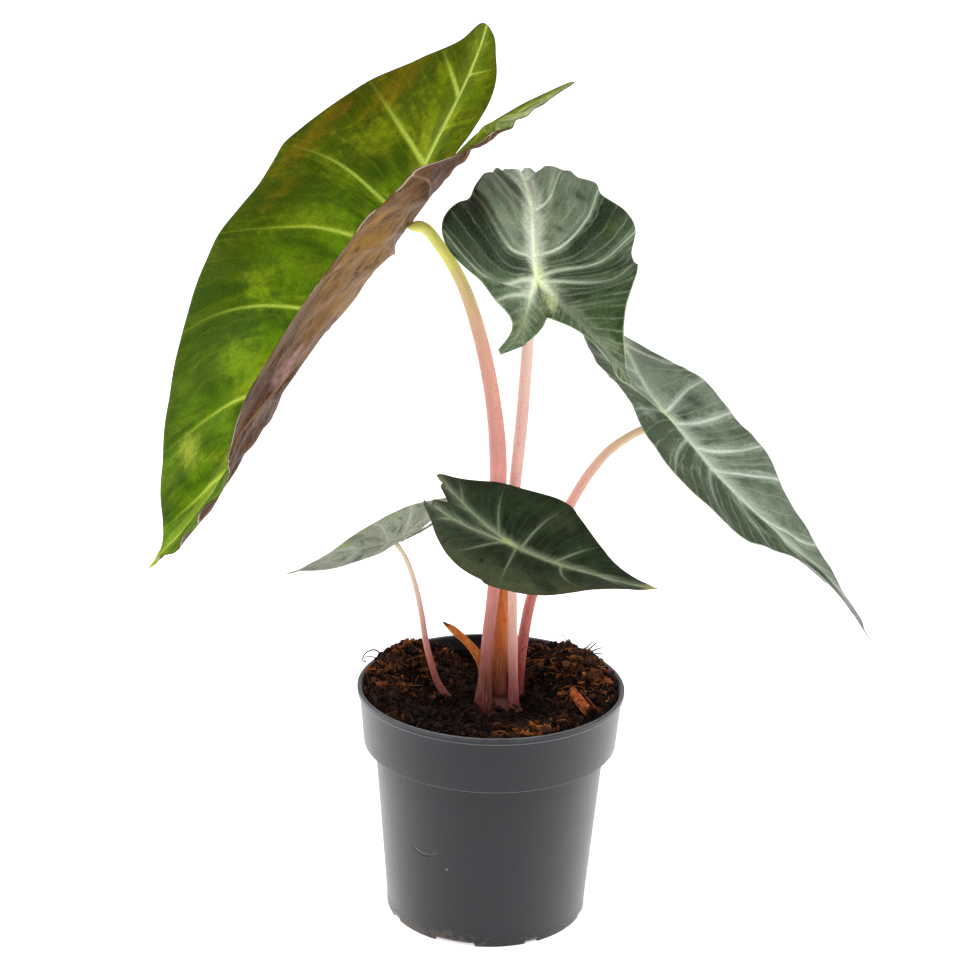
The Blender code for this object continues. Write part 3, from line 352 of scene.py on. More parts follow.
def new_finish(name, **constants):
    """Empty material with its shader node and the shader's own constant values."""
    finish = bpy.data.materials.new(name)
    finish.use_nodes = True
    shader = finish.node_tree.nodes["Principled BSDF"]
    for socket, value in constants.items():
        shader.inputs[socket.replace("_", " ")].default_value = value
    return finish, finish.node_tree, shader


def layered(tree, base, layers):
    """Colour layers, each laid over the ones below through its mask."""
    for mask, over in layers:
        base = add(tree, "ShaderNodeMix", {0: mask, 6: base, 7: over}, out=2, data_type="RGBA")
    return base


def times(tree, *values):
    """Product of several masks."""
    product = values[0]
    for value in values[1:]:
        product = add(tree, MATH, {0: product, 1: value}, operation="MULTIPLY")
    return product


def weighted(tree, *parts):
    """Sum of several masks, each by its own weight."""
    total = 0.0
    for value, weight in parts:
        total = add(tree, MATH, {0: value, 1: weight, 2: total}, operation="MULTIPLY_ADD")
    return total


def dress(tree, shader, skin, rough, relief, strength, depth):
    """Give a finish its colour, its roughness and its relief, whose depth is in metres."""
    bump = add(tree, "ShaderNodeBump", {"Strength": strength, "Distance": depth, "Height": relief})
    for source, socket in ((skin, "Base Color"), (rough, "Roughness"), (bump, "Normal")):
        link(tree, source, shader.inputs[socket])


def place_in_mm(tree):
    """Place on the piece in millimetres, so that pattern scales are real sizes."""
    return add(tree, "ShaderNodeVectorMath", {0: add(tree, "ShaderNodeTexCoord", out="Object"),
                                              1: (1000, 1000, 1000)}, out=0, operation="MULTIPLY")


def graded(tree, along, wander, reach, colours):
    """Colours along a piece, their borders moved to and fro by a share of its length."""
    at = weighted(tree, (along, 1.0), (wander, reach))
    ramp = add(tree, "ShaderNodeValToRGB", {0: add(tree, MATH, {0: at, 1: reach / 2},
                                                   operation="SUBTRACT")})
    stops = ramp.color_ramp.elements
    stops[0].color, stops[1].color = colour(colours[0][1]), colour(colours[-1][1])
    for position, code in colours[1:-1]:
        stops.new(position).color = colour(code)
    return ramp.outputs[0]


def make_piece(name, points, faces, finishes, nodes, marks=None, which=None):
    """Mesh piece from points in millimetres, with values at its points for its material. It rides
    on the one body, in place of the given CAD nodes."""
    mesh = bpy.data.meshes.new(name)
    mesh.from_pydata((np.asarray(points, float) * MM).tolist(), [], faces)
    for mark, values in (marks or {}).items():
        values = np.asarray(values, float)
        flat = values.ndim == 1
        layer = mesh.attributes.new(mark, "FLOAT" if flat else "FLOAT_VECTOR", "POINT")
        layer.data.foreach_set("value" if flat else "vector", values.ravel())
    for finish in finishes:
        mesh.materials.append(finish)
    if which is not None:
        mesh.polygons.foreach_set("material_index", which)
    mesh.shade_smooth()
    mesh.update()
    made = placed(name, mesh)
    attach(made, "root")
    if nodes:
        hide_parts(*nodes)
    return made


def hermite(stations, values, at, steady=False):
    """Smooth curve through values at rising stations; a steady one never overshoots."""
    stations, values, at = (np.asarray(v, float) for v in (stations, values, at))
    if steady:
        rise = np.diff(values, axis=0) / np.diff(stations)[:, None]
        both = rise[1:] * rise[:-1]
        inner = np.where(both > 0, 2 * both / np.where(both > 0, rise[1:] + rise[:-1], 1), 0)
        slopes = np.vstack([rise[:1], inner, rise[-1:]])
    else:
        slopes = np.gradient(values, stations, axis=0)
    i = np.clip(np.searchsorted(stations, at, side="right") - 1, 0, len(stations) - 2)
    step = stations[i + 1] - stations[i]
    x = (at - stations[i]) / step
    if values.ndim > 1:
        step, x = step[..., None], x[..., None]
    return ((2 * x**3 - 3 * x**2 + 1) * values[i] + (x**3 - 2 * x**2 + x) * step * slopes[i]
            + (3 * x**2 - 2 * x**3) * values[i + 1] + (x**3 - x**2) * step * slopes[i + 1])


def unit(v):
    """Directions scaled to length 1."""
    return v / np.linalg.norm(v, axis=-1, keepdims=True)


def rise_between(x, low, high):
    """Smooth step from 0 at low to 1 at high."""
    x = np.clip((np.asarray(x, float) - low) / (high - low), 0, 1)
    return x * x * (3 - 2 * x)


def ring_faces(rings, sides):
    """Quads between rings of equal counts of points."""
    faces = []
    for i in range(rings - 1):
        for k in range(sides):
            a, b = i * sides + k, i * sides + (k + 1) % sides
            faces.append((a, b, b + sides, a + sides))
    return faces


def grid_faces(rows, columns):
    """Quads of a grid of points."""
    corners = [i * columns + k for i in range(rows - 1) for k in range(columns - 1)]
    return [(a, a + columns, a + columns + 1, a + 1) for a in corners]


def border(rows, columns):
    """Numbers of the points once round the edge of a grid."""
    there = [i * columns for i in range(rows)] + [(rows - 1) * columns + k for k in range(1, columns)]
    back = [i * columns + columns - 1 for i in range(rows - 2, -1, -1)]
    return there + back + list(range(columns - 2, 0, -1))


def tube(points, radii, sides):
    """Points and faces of a tapered round bar with closed ends."""
    points = np.asarray(points, float)
    ahead = unit(np.gradient(points, axis=0))
    side = unit(np.cross(ahead[0], (0.31, 0.2, 0.93)))
    turn = 2 * np.pi * np.arange(sides) / sides
    verts = []
    for place, along, radius in zip(points, ahead, radii):
        side = unit(side - along * (side @ along))
        up = np.cross(along, side)
        verts.append(place + radius * (np.cos(turn)[:, None] * side + np.sin(turn)[:, None] * up))
    last = (len(points) - 1) * sides
    faces = ring_faces(len(points), sides)
    faces += [tuple(range(sides))[::-1], tuple(range(last, last + sides))]
    return np.vstack(verts), faces


def joined(parts):
    """Several (points, faces) shapes as one."""
    points, faces, start = [], [], 0
    for some, these in parts:
        points.append(some)
        faces += [tuple(v + start for v in face) for face in these]
        start += len(some)
    return np.vstack(points), faces


# Leaves

class Leaf:
    """Arrow-shaped leaf: a flat pattern bent along its midrib and folded at the rib."""

    def __init__(self, spec):
        self.spec = spec
        self.length = spec["length"]
        self.lobe = max(spec["lobes"])
        self.notch = 1 - 0.6 * spec["sinus"] / self.lobe
        self.rib_at = self.stretch(MIDRIB_STATIONS, self.lobe)
        self.rib = np.array(spec["midrib"], float)
        self.fold_at = self.stretch(FOLD_STATIONS, self.lobe)
        self.fold = np.radians(np.array(spec["fold"], float))
        self.along = np.linspace(-self.lobe - 1, self.length + 1, MIDRIB_STEPS)
        self.tangent = unit(np.gradient(hermite(self.rib_at, self.rib, self.along), self.along, axis=0))
        self.normal = np.zeros_like(self.tangent)
        start = int(np.abs(self.along).argmin())
        last = np.array(spec["facing"], float)
        for order in (range(start, MIDRIB_STEPS), range(start - 1, -1, -1)):
            for j in order:
                last = unit(last - self.tangent[j] * (last @ self.tangent[j]))
                self.normal[j] = last
            last = self.normal[start]

    def stretch(self, stations, lobe):
        """Stations -1 to 1 as millimetres from the leaf's heart, back to a lobe or on to the tip."""
        stations = np.asarray(stations, float)
        return np.where(stations < 0, stations * lobe, stations * self.length)

    def frame(self, a):
        """Tangent, upward normal and side direction of the midrib."""
        tangent = unit(np.stack([np.interp(a, self.along, self.tangent[:, k]) for k in range(3)], -1))
        normal = np.stack([np.interp(a, self.along, self.normal[:, k]) for k in range(3)], -1)
        normal = unit(normal - tangent * np.sum(normal * tangent, -1, keepdims=True))
        return tangent, normal, np.cross(tangent, normal)

    def place(self, a, w, half, lift):
        """Points at a along the midrib and w to the side, lifted off the surface."""
        _, normal, side = self.frame(a)
        side = side * (1 if half == 0 else -1)
        angle = hermite(self.fold_at, self.fold[half], a)
        bend = (angle[..., 1] - angle[..., 0]) / self.spec["curl_width"]
        middle = angle[..., 0] + bend * w / 2
        reach = w * np.sinc(bend * w / 2 / math.pi)
        slope = (angle[..., 0] + bend * w)[..., None]
        near = rise_between(w, 0, 0.08 * self.spec["curl_width"])[..., None]
        up = unit(normal * (1 - near) + (np.cos(slope) * normal - np.sin(slope) * side) * near)
        return (hermite(self.rib_at, self.rib, a) + (reach * np.cos(middle))[..., None] * side
                + (reach * np.sin(middle))[..., None] * normal + up * lift[..., None])

    def outline(self, half, t):
        """Margin in the flat pattern, t = 0 at the lobe tip, 1 at the leaf tip."""
        at = self.stretch(OUTLINE_STATIONS, self.spec["lobes"][half])
        widths = np.array([*self.spec["half_widths"][half], 0.0])
        k = np.arange(len(at))
        a = hermite(k, at, t * k[-1])
        blunt = self.spec.get("blunt", 0) * (at[1] - at[0])
        start = np.clip(t * k[-1], 0, 1)
        a = a - blunt * start * (1 - start) ** 2
        thread = self.spec.get("thread", 0) * rise_between(1 - t, 0, 0.004)
        w = (hermite(k, widths, t * k[-1])
             + 0.25 * widths[0] * self.spec.get("blunt", 0) * start * (1 - start) ** 2)
        return np.stack([a, np.maximum(w, thread)], -1)

    def sinus(self, half, share):
        """Edge of the notch between the lobes, then the bare midrib line to the junction."""
        lobe, deep = self.spec["lobes"][half], self.spec["sinus"]
        at = np.array([-lobe, -0.9 * lobe, -0.62 * lobe - 0.38 * deep, -0.25 * lobe - 0.75 * deep, -deep])
        widths = np.array([self.spec["half_widths"][half][0], *self.spec["sinus_widths"][half], 0.0])
        k = np.arange(5)
        t = np.clip(share / self.notch, 0, 1)
        past = share > self.notch - 1e-9
        start = np.clip(t * 4, 0, 1)
        blunt = self.spec.get("blunt", 0) * (at[1] - at[0]) * start * (1 - start) ** 2
        a = np.where(past, -deep * (1 - share) / (1 - self.notch), hermite(k, at, t * 4) - blunt)
        w = (hermite(k, widths, t * 4)
             - 0.2 * widths[0] * self.spec.get("blunt", 0) * start * (1 - start) ** 2)
        return np.stack([a, np.where(past, 0, np.maximum(w, 0))], -1)

    def rows(self):
        """Rows that serve both halves alike: their starts from -1 to 1, then each half's course."""
        spec = self.spec
        fine = np.linspace(-1, 1, COURSE_STEPS)
        span = np.linalg.norm([self.lobe, max(w[0] for w in spec["half_widths"])])
        moves = [np.where(fine[1:] < 0, span, self.length) * np.diff(fine)]
        courses = []
        for half, veins in enumerate(spec["veins"]):
            knots = np.array([(-1, 0, 0, 0), *veins, (1, 1, 0, 0)], float)
            order = np.arange(len(knots))
            q = np.linspace(0, order[-1], COURSE_STEPS)
            course = hermite(order, knots, q, True)
            q = np.interp(fine, course[:, 0], q)
            course = hermite(order, knots, q, True)
            courses.append((q, course))
            moves.append(np.linalg.norm(np.diff(self.outline(half, course[:, 1]), axis=0), axis=1))
        travel = np.r_[0, np.cumsum(np.max(moves, axis=0))]
        set_rows = sorted({-1.0, self.notch - 1, 0.0, 1.0,
                           *(v[0] for veins in spec["veins"] for v in veins)})
        set_at = np.interp(set_rows, fine, travel)
        even = np.linspace(0, travel[-1], int(travel[-1] / spec["step"]))
        even = even[np.abs(even[:, None] - set_at).min(axis=1) > 0.4 * spec["step"]]
        starts = np.sort(np.r_[set_rows, np.interp(even, travel, fine)])
        return starts, [(np.interp(starts, fine, q), np.stack([np.interp(starts, fine, c)
                                                             for c in course.T[1:]], -1))
                        for q, course in courses]

    def grids(self):
        """Flat grids of each half: (half, inner, row numbers, columns, points, side veins)."""
        spec = self.spec
        starts, courses = self.rows()
        made = []
        for half, (q, course) in enumerate(courses):
            lobe, first = spec["lobes"][half], spec["half_widths"][half][0]
            end, bow, skew = course.T[:, :, None]
            root = np.where(starts[:, None] < 0, starts[:, None] * (lobe, -first),
                            starts[:, None] * (self.length, 0.0))[:, None]
            tip = self.outline(half, end[:, 0])[:, None]
            u = np.linspace(0, 1, int(max(spec["half_widths"][half]) / spec["step"] * 0.9) + 1)
            span = np.linalg.norm(tip - root, axis=2)
            grid = root + (tip - root) * u[:, None]
            grid[..., 0] -= bow * span * 4 * u * (1 - u) * (1 - skew + 2 * skew * u)
            made.append((half, 0, q, u, grid, len(spec["veins"][half])))
            back = starts <= 0
            u = u[::2] / u[::2][-1]
            edge = self.sinus(half, 1 + starts[back])[:, None]
            made.append((half, 1, 4 * (1 + starts[back]), u,
                         root[back] + (edge - root[back]) * u[:, None], 3))
        return made


def distance_to(points, b):
    """Distance of flat points to the segment from the junction to b."""
    b = np.asarray(b, float)
    t = np.clip((points @ b) / (b @ b), 0, 1)
    return np.linalg.norm(points - t[..., None] * b, axis=-1)


def make_blade(name):
    """Blade as a closed thin body: quilted upper face, ribbed lower face, thin margin."""
    spec = LEAVES[name]
    leaf = Leaf(spec)
    first, last = spec["vein_width"]
    thick_rib, thin_rib = spec["rib_width"]
    flats, uppers, lowers, marks, faces = [], [], [], [], []
    start = 0
    for half, inner, q, u, grid, veins in leaf.grids():
        grid[..., 1] = np.maximum(grid[..., 1], 0)
        a, w = grid[..., 0], grid[..., 1]
        sign = 1 if half == 0 else -1
        along_q, along_u = np.gradient(grid, q, axis=0), np.gradient(grid, u, axis=1)
        length = np.linalg.norm(along_u, axis=-1)
        gap = np.abs(along_q[..., 0] * along_u[..., 1] - along_q[..., 1] * along_u[..., 0])
        gap = gap / np.maximum(length, 1e-3)
        vein = np.abs(q - np.clip(np.round(q), 1, veins))[:, None] * gap
        rib = np.minimum(distance_to(grid, (leaf.length, 0)),
                         distance_to(grid, (-spec["lobes"][half], spec["half_widths"][half][0])))
        edge = (1 - u) * length
        if inner:
            edge = np.where(w[:, -1:] > 0.01, edge, 30.0)
        away = np.where(a > 0, a / leaf.length, 0.15 - 0.75 * a / spec["lobes"][half]).clip(0, 1)
        rib_width = thick_rib + (thin_rib - thick_rib) * away**0.8
        vein_width = (first + (last - first) * u) * (0.5 if inner else 1)
        core = np.minimum(vein / vein_width, rib / rib_width)
        # relief fades where the blade is narrow
        width = np.linalg.norm(grid[:, -1] - grid[:, 0], axis=-1)[:, None] / (0.7 * spec["curl_width"])
        size = np.minimum(1, width * (2 if inner else 1)) ** 2
        hump = 4 * u * (1 - u)
        top = spec["quilt"] * np.sin(np.pi * q)[:, None] ** 2 * hump * size * (0.35 if inner else 1)
        if not inner:
            top = top + spec["wave"] * np.sin(np.pi * q + 2 * half)[:, None] * u**3 * size
        grain = spec["step"]
        swell = (np.sin(a / (7.3 * grain) + 1.7 * w / (11 * grain) + half)
                 * np.sin(w / (6.1 * grain) - a / (13 * grain)) + 0.4 * np.sin(a / (2.9 * grain) + half)
                 * np.sin(w / (2.5 * grain) + a / (17 * grain)))
        top = top + (0.2 * spec["quilt"] * swell * np.clip(rib / 6, 0, 1)
                     * np.clip((rib + edge) / 18, 0, 1))
        for at, amount in spec.get("pleats", ((), ()))[half] if not inner else ():
            beyond = q[:, None] - at
            top = top + (amount * np.tanh(beyond / 0.07) * np.exp(-np.abs(beyond) / 0.45)
                         * rise_between(u, 0.35, 0.95))
        crumple = spec.get("crumple", (0, 0))[half]
        if crumple and not inner:
            rough = np.array([[noise.noise(Vector((r * 1.7, c * 2.4, 0.5))) + 0.5 * noise.noise(
                Vector((r * 4.1, c * 4.5, 7.5))) for c in u] for r in q])
            top = top + crumple * rough * rise_between(u, 0, 0.2) * np.minimum(1, width)
        groove = (0.45 * first * np.exp(-(vein / (1.3 * vein_width)) ** 2) * size
                  * rise_between(1 - u, 0, 0.15))
        groove = groove + 0.4 * np.exp(-(rib / (1.2 * rib_width)) ** 2)
        thick = 0.5 + 1.1 * np.exp(-(rib / (1.1 * rib_width)) ** 2) * rib_width / thick_rib
        thick = thick + 0.6 * first * np.exp(-(vein / vein_width) ** 2) * size
        thick = thick * (0.45 + 0.55 * rise_between(edge, 0, 3.0))
        uppers.append(leaf.place(a, w, half, top - groove).reshape(-1, 3))
        lowers.append(leaf.place(a, w, half, top - thick).reshape(-1, 3))
        flats.append(np.stack([a, w * sign], -1).reshape(-1, 2))
        fill = np.ones_like(a)
        marks.append(np.stack([a, w * sign, 0 * a, core, vein, rib, q[:, None] * fill, u * fill, gap,
                               edge], -1).reshape(-1, 10))
        rows, columns = a.shape
        corner = start + (np.arange(rows - 1)[:, None] * columns + np.arange(columns - 1)).ravel()
        square = np.stack([corner, corner + columns, corner + columns + 1, corner + 1], 1)
        faces.append(square if (half == 1) != bool(inner) else square[:, ::-1])
        start += rows * columns
    keys = np.round(np.vstack(flats) / 0.02).astype(int)
    _, first_of, same = np.unique(keys, axis=0, return_index=True, return_inverse=True)
    top, low, mark = (np.vstack(v)[first_of] for v in (uppers, lowers, marks))
    count = len(first_of)
    upper_faces, open_edges = [], {}
    for face in same.ravel()[np.vstack(faces)].tolist():
        face = [v for i, v in enumerate(face) if v != face[i - 1]]
        if len(set(face)) < 3:
            continue
        upper_faces.append(tuple(face))
        for i, v in enumerate(face):
            if open_edges.pop((v, face[i - 1]), None) is None:
                open_edges[(face[i - 1], v)] = True
    lower_faces = [tuple(v + count for v in face[::-1]) for face in upper_faces]
    rim = [(b, a, a + count, b + count) for a, b in open_edges]
    which = [0] * len(upper_faces) + [1] * len(lower_faces) + [0] * len(rim)
    mark = np.vstack([mark, mark])
    return make_piece(name + "_leaf", np.vstack([top, low]), upper_faces + lower_faces + rim,
                      [upper_skin(name), lower_skin(name)], [name],
                      {"flat": mark[:, :3], "veins": mark[:, 3:6], "lay": mark[:, 6:9],
                       "edge": mark[:, 9]}, which)


def leaf_marks(tree):
    """What each point of a blade knows: place in the flat leaf, distances to veins, row, column."""
    marks = {}
    for name, parts in (("flat", "a w none"), ("veins", "core vein rib"), ("lay", "q u gap")):
        marks[name] = add(tree, "ShaderNodeAttribute", out="Vector", attribute_name=name)
        split = add(tree, "ShaderNodeSeparateXYZ", {0: marks[name]})
        for i, part in enumerate(parts.split()):
            marks[part] = split.outputs[i]
    marks["edge"] = add(tree, "ShaderNodeAttribute", out="Fac", attribute_name="edge")
    # mottle of 16 mm, ragged edges of 5 mm, grain of about 1 mm
    for name, size, detail in (("broad", 16, 5.0), ("ragged", 5, 4.0), ("grain", 1.1, 3.0)):
        marks[name] = add(tree, NOISE, {"Vector": marks["flat"], "Scale": 1 / size, "Detail": detail,
                                        "Roughness": 0.6}, out=0)
    # streaks that follow the side veins, drawn out towards the margin
    for name, across, detail in (("streak", (2.4, 1.7, 0), 3.0), ("brush", (8.0, 2.4, 0), 4.0)):
        lay = add(tree, "ShaderNodeMapping", {0: marks["lay"], 1: (detail, detail, 0), 3: across})
        marks[name] = add(tree, NOISE, {"Vector": lay, "Scale": 1.0, "Detail": detail, "Roughness": 0.58,
                                        "Distortion": 0.5}, out=0)
    return marks


def cloud(tree, m, a, w, long, wide, amount):
    """Soft-edged patch at a place on the flat leaf, ragged by the leaf's own mottle."""
    away = add(tree, "ShaderNodeMapping", {0: m["flat"], 1: (-a / long, -w / wide, 0),
                                           3: (1 / long, 1 / wide, 0)})
    away = add(tree, "ShaderNodeVectorMath", {0: away}, out="Value", operation="LENGTH")
    away = weighted(tree, (away, 1.0), (m["ragged"], 1.6), (m["streak"], 1.0))
    return times(tree, add(tree, RANGE, {0: away, 1: 1.2, 2: 2.3, 3: 1.0, 4: 0.0}, **SOFT), amount)


def vein_net(tree, m, bend, scale, width):
    """Closed net of the smallest veins, 1 on a vein and 0 between, in cells of 1 / scale mm."""
    bent = add(tree, "ShaderNodeVectorMath", {0: m["flat"], 1: add(tree, NOISE, {
        "Vector": m["flat"], "Scale": bend}, out=1)}, out=0, operation="ADD")
    net = add(tree, "ShaderNodeTexVoronoi", {"Vector": bent, "Scale": scale}, out=0,
              feature="DISTANCE_TO_EDGE")
    return add(tree, RANGE, {0: net, 1: 0.0, 2: width, 3: 1.0, 4: 0.0}, **SOFT)


def upper_skin(name):
    """Aroid leaf, upper face: smooth waxy skin stretched between sunken veins. It gives broad soft
    highlights, pale veins with a silvery haze beside them, fine lines between and a fine grain."""
    look = {**COMMON_LOOK, **LOOKS[name]}
    finish, tree, shader = new_finish(name + "_upper_skin", IOR=look["ior"],
                                      Specular_IOR_Level=look["wax"])
    m = leaf_marks(tree)
    tone = add(tree, RANGE, {0: m["broad"], 1: 0.38, 2: 0.6}, **SOFT)
    shade = times(tree, add(tree, RANGE, {0: m["streak"], 1: 0.5, 2: 0.66}, **SOFT),
                  add(tree, RANGE, {0: m["u"], 1: 0.02, 2: 0.25}, **SOFT), look["dark_amount"])
    low, high = look["glow_at"]
    glow = times(tree, add(tree, RANGE, {0: m["streak"], 1: 0.34, 2: 0.52, 3: 1.0, 4: 0.0}, **SOFT),
                 add(tree, RANGE, {0: m["u"], 1: low, 2: high, 3: 1.0, 4: 0.0}, **SOFT),
                 add(tree, RANGE, {0: m["broad"], 1: 0.35, 2: 0.6}, **SOFT), look["glow_amount"])
    # small dark flecks and paler puffs where the skin swells between the veins
    fleck = add(tree, RANGE, {0: m["ragged"], 1: 0.46, 2: 0.72}, **SOFT)
    puff = times(tree, add(tree, RANGE, {0: m["ragged"], 1: 0.26, 2: 0.5, 3: 0.7, 4: 0.0}, **SOFT),
                 add(tree, RANGE, {0: m["streak"], 1: 0.4, 2: 0.6, 3: 1.0, 4: 0.0}, **SOFT))
    start, end, side_code, amount = look["side_shade"]
    side = times(tree, add(tree, RANGE, {0: m["w"], 1: start, 2: end}, **SOFT),
                 add(tree, RANGE, {0: m["streak"], 1: 0.3, 2: 0.55, 3: 0.75, 4: 1.0}, **SOFT), amount)
    start, end, back_code, amount = look["lobe_shade"]
    back = times(tree, add(tree, RANGE, {0: m["a"], 1: start, 2: end, 3: 1.0, 4: 0.0}, **SOFT),
                 add(tree, RANGE, {0: m["broad"], 1: 0.3, 2: 0.6, 3: 0.5, 4: 1.0}), amount)
    clouds = [(cloud(tree, m, *place, amount), code) for *place, amount, code in look["clouds"]]

    # silvery haze beside the side veins and along the midrib, ragged at its edge
    fray = add(tree, RANGE, {0: m["ragged"], 1: 0.3, 2: 0.7, 3: 0.6, 4: 1.5})
    brushed = add(tree, RANGE, {0: m["brush"], 1: 0.35, 2: 0.65, 3: 0.75, 4: 1.3})
    beside = add(tree, RANGE, {0: times(tree, m["vein"], fray), 1: 0.0, 2: look["vein_haze"], 3: 0.85,
                               4: 0.0}, **SOFT)
    beside = times(tree, beside,
                   add(tree, RANGE, {0: m["u"], 1: 0.25, 2: 1.0, 3: 1.0, 4: look["vein_end"]}, **SOFT))
    reach = add(tree, RANGE, {0: m["w"], 1: -0.5, 2: 0.5, 3: 1 / look["rib_haze"][1],
                              4: 1 / look["rib_haze"][0]})
    lobe = add(tree, RANGE, {0: m["a"], 1: -14.0, 2: 0.0, 3: look["lobe_haze"], 4: 1.0}, **SOFT)
    by_rib = add(tree, RANGE, {0: times(tree, m["rib"], brushed, reach), 1: 0.0, 2: 1.0, 3: 1.0, 4: 0.0},
                 **SOFT)
    by_rib = times(tree, by_rib, lobe)
    haze = beside
    if look["panel_rows"]:
        # the middle of the leaf, as far as the side vein where it creases, is silvery
        row = add(tree, RANGE, {0: m["w"], 1: -0.5, 2: 0.5, 3: look["panel_rows"][1],
                                4: look["panel_rows"][0]})
        past = add(tree, MATH, {0: m["q"], 1: row}, operation="SUBTRACT")
        panel = times(tree, add(tree, RANGE, {0: past, 1: -0.1, 2: 0.14}, **SOFT),
                      add(tree, RANGE, {0: m["streak"], 1: 0.34, 2: 0.62, 3: 1.0, 4: 0.6}, **SOFT),
                      look["panel_amount"])
        # painted shadow: a dark band on the outer side of the crease, beyond the silvery middle
        crease_shadow = times(tree, add(tree, RANGE, {0: past, 1: -0.12, 2: -0.04, 3: 1.0, 4: 0.0}, **SOFT),
                       add(tree, RANGE, {0: past, 1: -0.9, 2: -0.2}, **SOFT),
                       add(tree, RANGE, {0: m["u"], 1: 0.2, 2: 0.5}, **SOFT), 0.75)
        clouds.append((crease_shadow, look["dark"]))
        haze = add(tree, MATH, {0: beside, 1: panel}, operation="MAXIMUM")
    # how much haze each half keeps; on blade_3 the one-sided silver is partly painted sheen
    sides = add(tree, RANGE, {0: m["w"], 1: -0.5, 2: 0.5, 3: look["haze_and_sheen_sides"][1],
                              4: look["haze_and_sheen_sides"][0]})
    haze = times(tree, haze, add(tree, RANGE, {0: m["broad"], 1: 0.3, 2: 0.6, 3: 0.65, 4: 1.0}), lobe,
                 sides, look["haze_amount"])

    # fine pale lines that run between the side veins
    count = float(look["lines"])
    place = add(tree, MATH, {0: m["broad"], 1: 0.9, 2: times(tree, m["q"], count)},
                operation="MULTIPLY_ADD")
    line = times(tree, add(tree, MATH, {0: place, 1: 0.5}, operation="PINGPONG"), m["gap"], 1 / count)
    line = add(tree, RANGE, {0: line, 1: 0.0, 2: 0.85, 3: 1.0, 4: 0.0}, **SOFT)
    line = times(tree, line, add(tree, RANGE, {0: m["broad"], 1: 0.36, 2: 0.6, 3: 0.25, 4: 1.0}, **SOFT),
                 add(tree, RANGE, {0: m["u"], 1: 0.0, 2: 0.2}, **SOFT))

    # closed net of the smallest veins, cells of about 1.8 mm
    net = vein_net(tree, m, 0.35, 0.55, 0.16)

    heart = add(tree, "ShaderNodeVectorMath", {0: m["flat"]}, out="Value", operation="LENGTH")
    heart = weighted(tree, (heart, 1.0), (m["rib"], 1.8))
    heart = add(tree, RANGE, {0: heart, 1: 0.0, 2: look["heart_size"], 3: 0.95, 4: 0.0}, **SOFT)
    core = times(tree, add(tree, RANGE, {0: m["core"], 1: 0.0, 2: look["vein_soft"], 3: 1.0, 4: 0.0},
                           **SOFT),
                 add(tree, RANGE, {0: m["u"], 1: 0.3, 2: 1.0, 3: 1.0, 4: look["vein_end"]}, **SOFT),
                 add(tree, RANGE, {0: m["ragged"], 1: 0.3, 2: 0.6, 3: 0.75, 4: 1.0}),
                 add(tree, RANGE, {0: m["a"], 1: -16.0, 2: -2.0, 3: look["lobe_vein"], 4: 1.0}, **SOFT),
                 add(tree, RANGE, {0: m["w"], 1: -0.5, 2: 0.5, 3: 1.0, 4: look["vein_side"]}),
                 look["vein_amount"])
    rib = add(tree, RANGE, {0: m["rib"], 1: 0.0, 2: LEAVES[name]["rib_width"][0] * 1.8, 3: 1.0, 4: 0.0},
              **SOFT)
    margin = add(tree, RANGE, {0: times(tree, m["edge"], fray), 1: 0.2, 2: 0.8, 3: 0.75, 4: 0.0}, **SOFT)
    vein_tone = layered(tree, look["vein"], [(rib, look["rib"])])
    length = LEAVES[name]["length"]
    tip = add(tree, RANGE, {0: m["a"], 1: length * look["tip_from"], 2: length}, **SOFT)
    skin = layered(tree, look["green"], [
        (tone, look["deep"]), (back, back_code), (side, side_code),
        (glow, look["glow"]), (shade, look["dark"]), (times(tree, fleck, look["fleck"]), look["dark"]),
        (times(tree, puff, look["fleck"]), look["glow"]), (haze, look["haze"]),
        (times(tree, by_rib, look["rib_glow"]), look["near_rib"]), *clouds,
        (times(tree, line, look["line_amount"]), look["line"]),
        (times(tree, net, look["line_amount"] * 0.16), look["line"]), (heart, look["heart"]),
        (core, vein_tone), (margin, look["margin"]), (tip, look["tip"])])
    grain = add(tree, RANGE, {0: m["grain"], 1: 0.25, 2: 0.75, 3: 0.72, 4: 1.26})
    skin = add(tree, "ShaderNodeVectorMath", {0: skin, 1: add(tree, "ShaderNodeCombineXYZ", {
        0: grain, 1: grain, 2: grain})}, out=0, operation="MULTIPLY")
    rough = add(tree, RANGE, {0: m["ragged"], 1: 0.3, 2: 0.7, 3: look["gloss"] - 0.05,
                              4: look["gloss"] + 0.1})
    relief = weighted(tree, (m["grain"], 0.6), (net, -0.35), (line, -0.3), (core, -0.6))
    dress(tree, shader, skin, rough, relief, 0.5, 0.0004)
    return finish


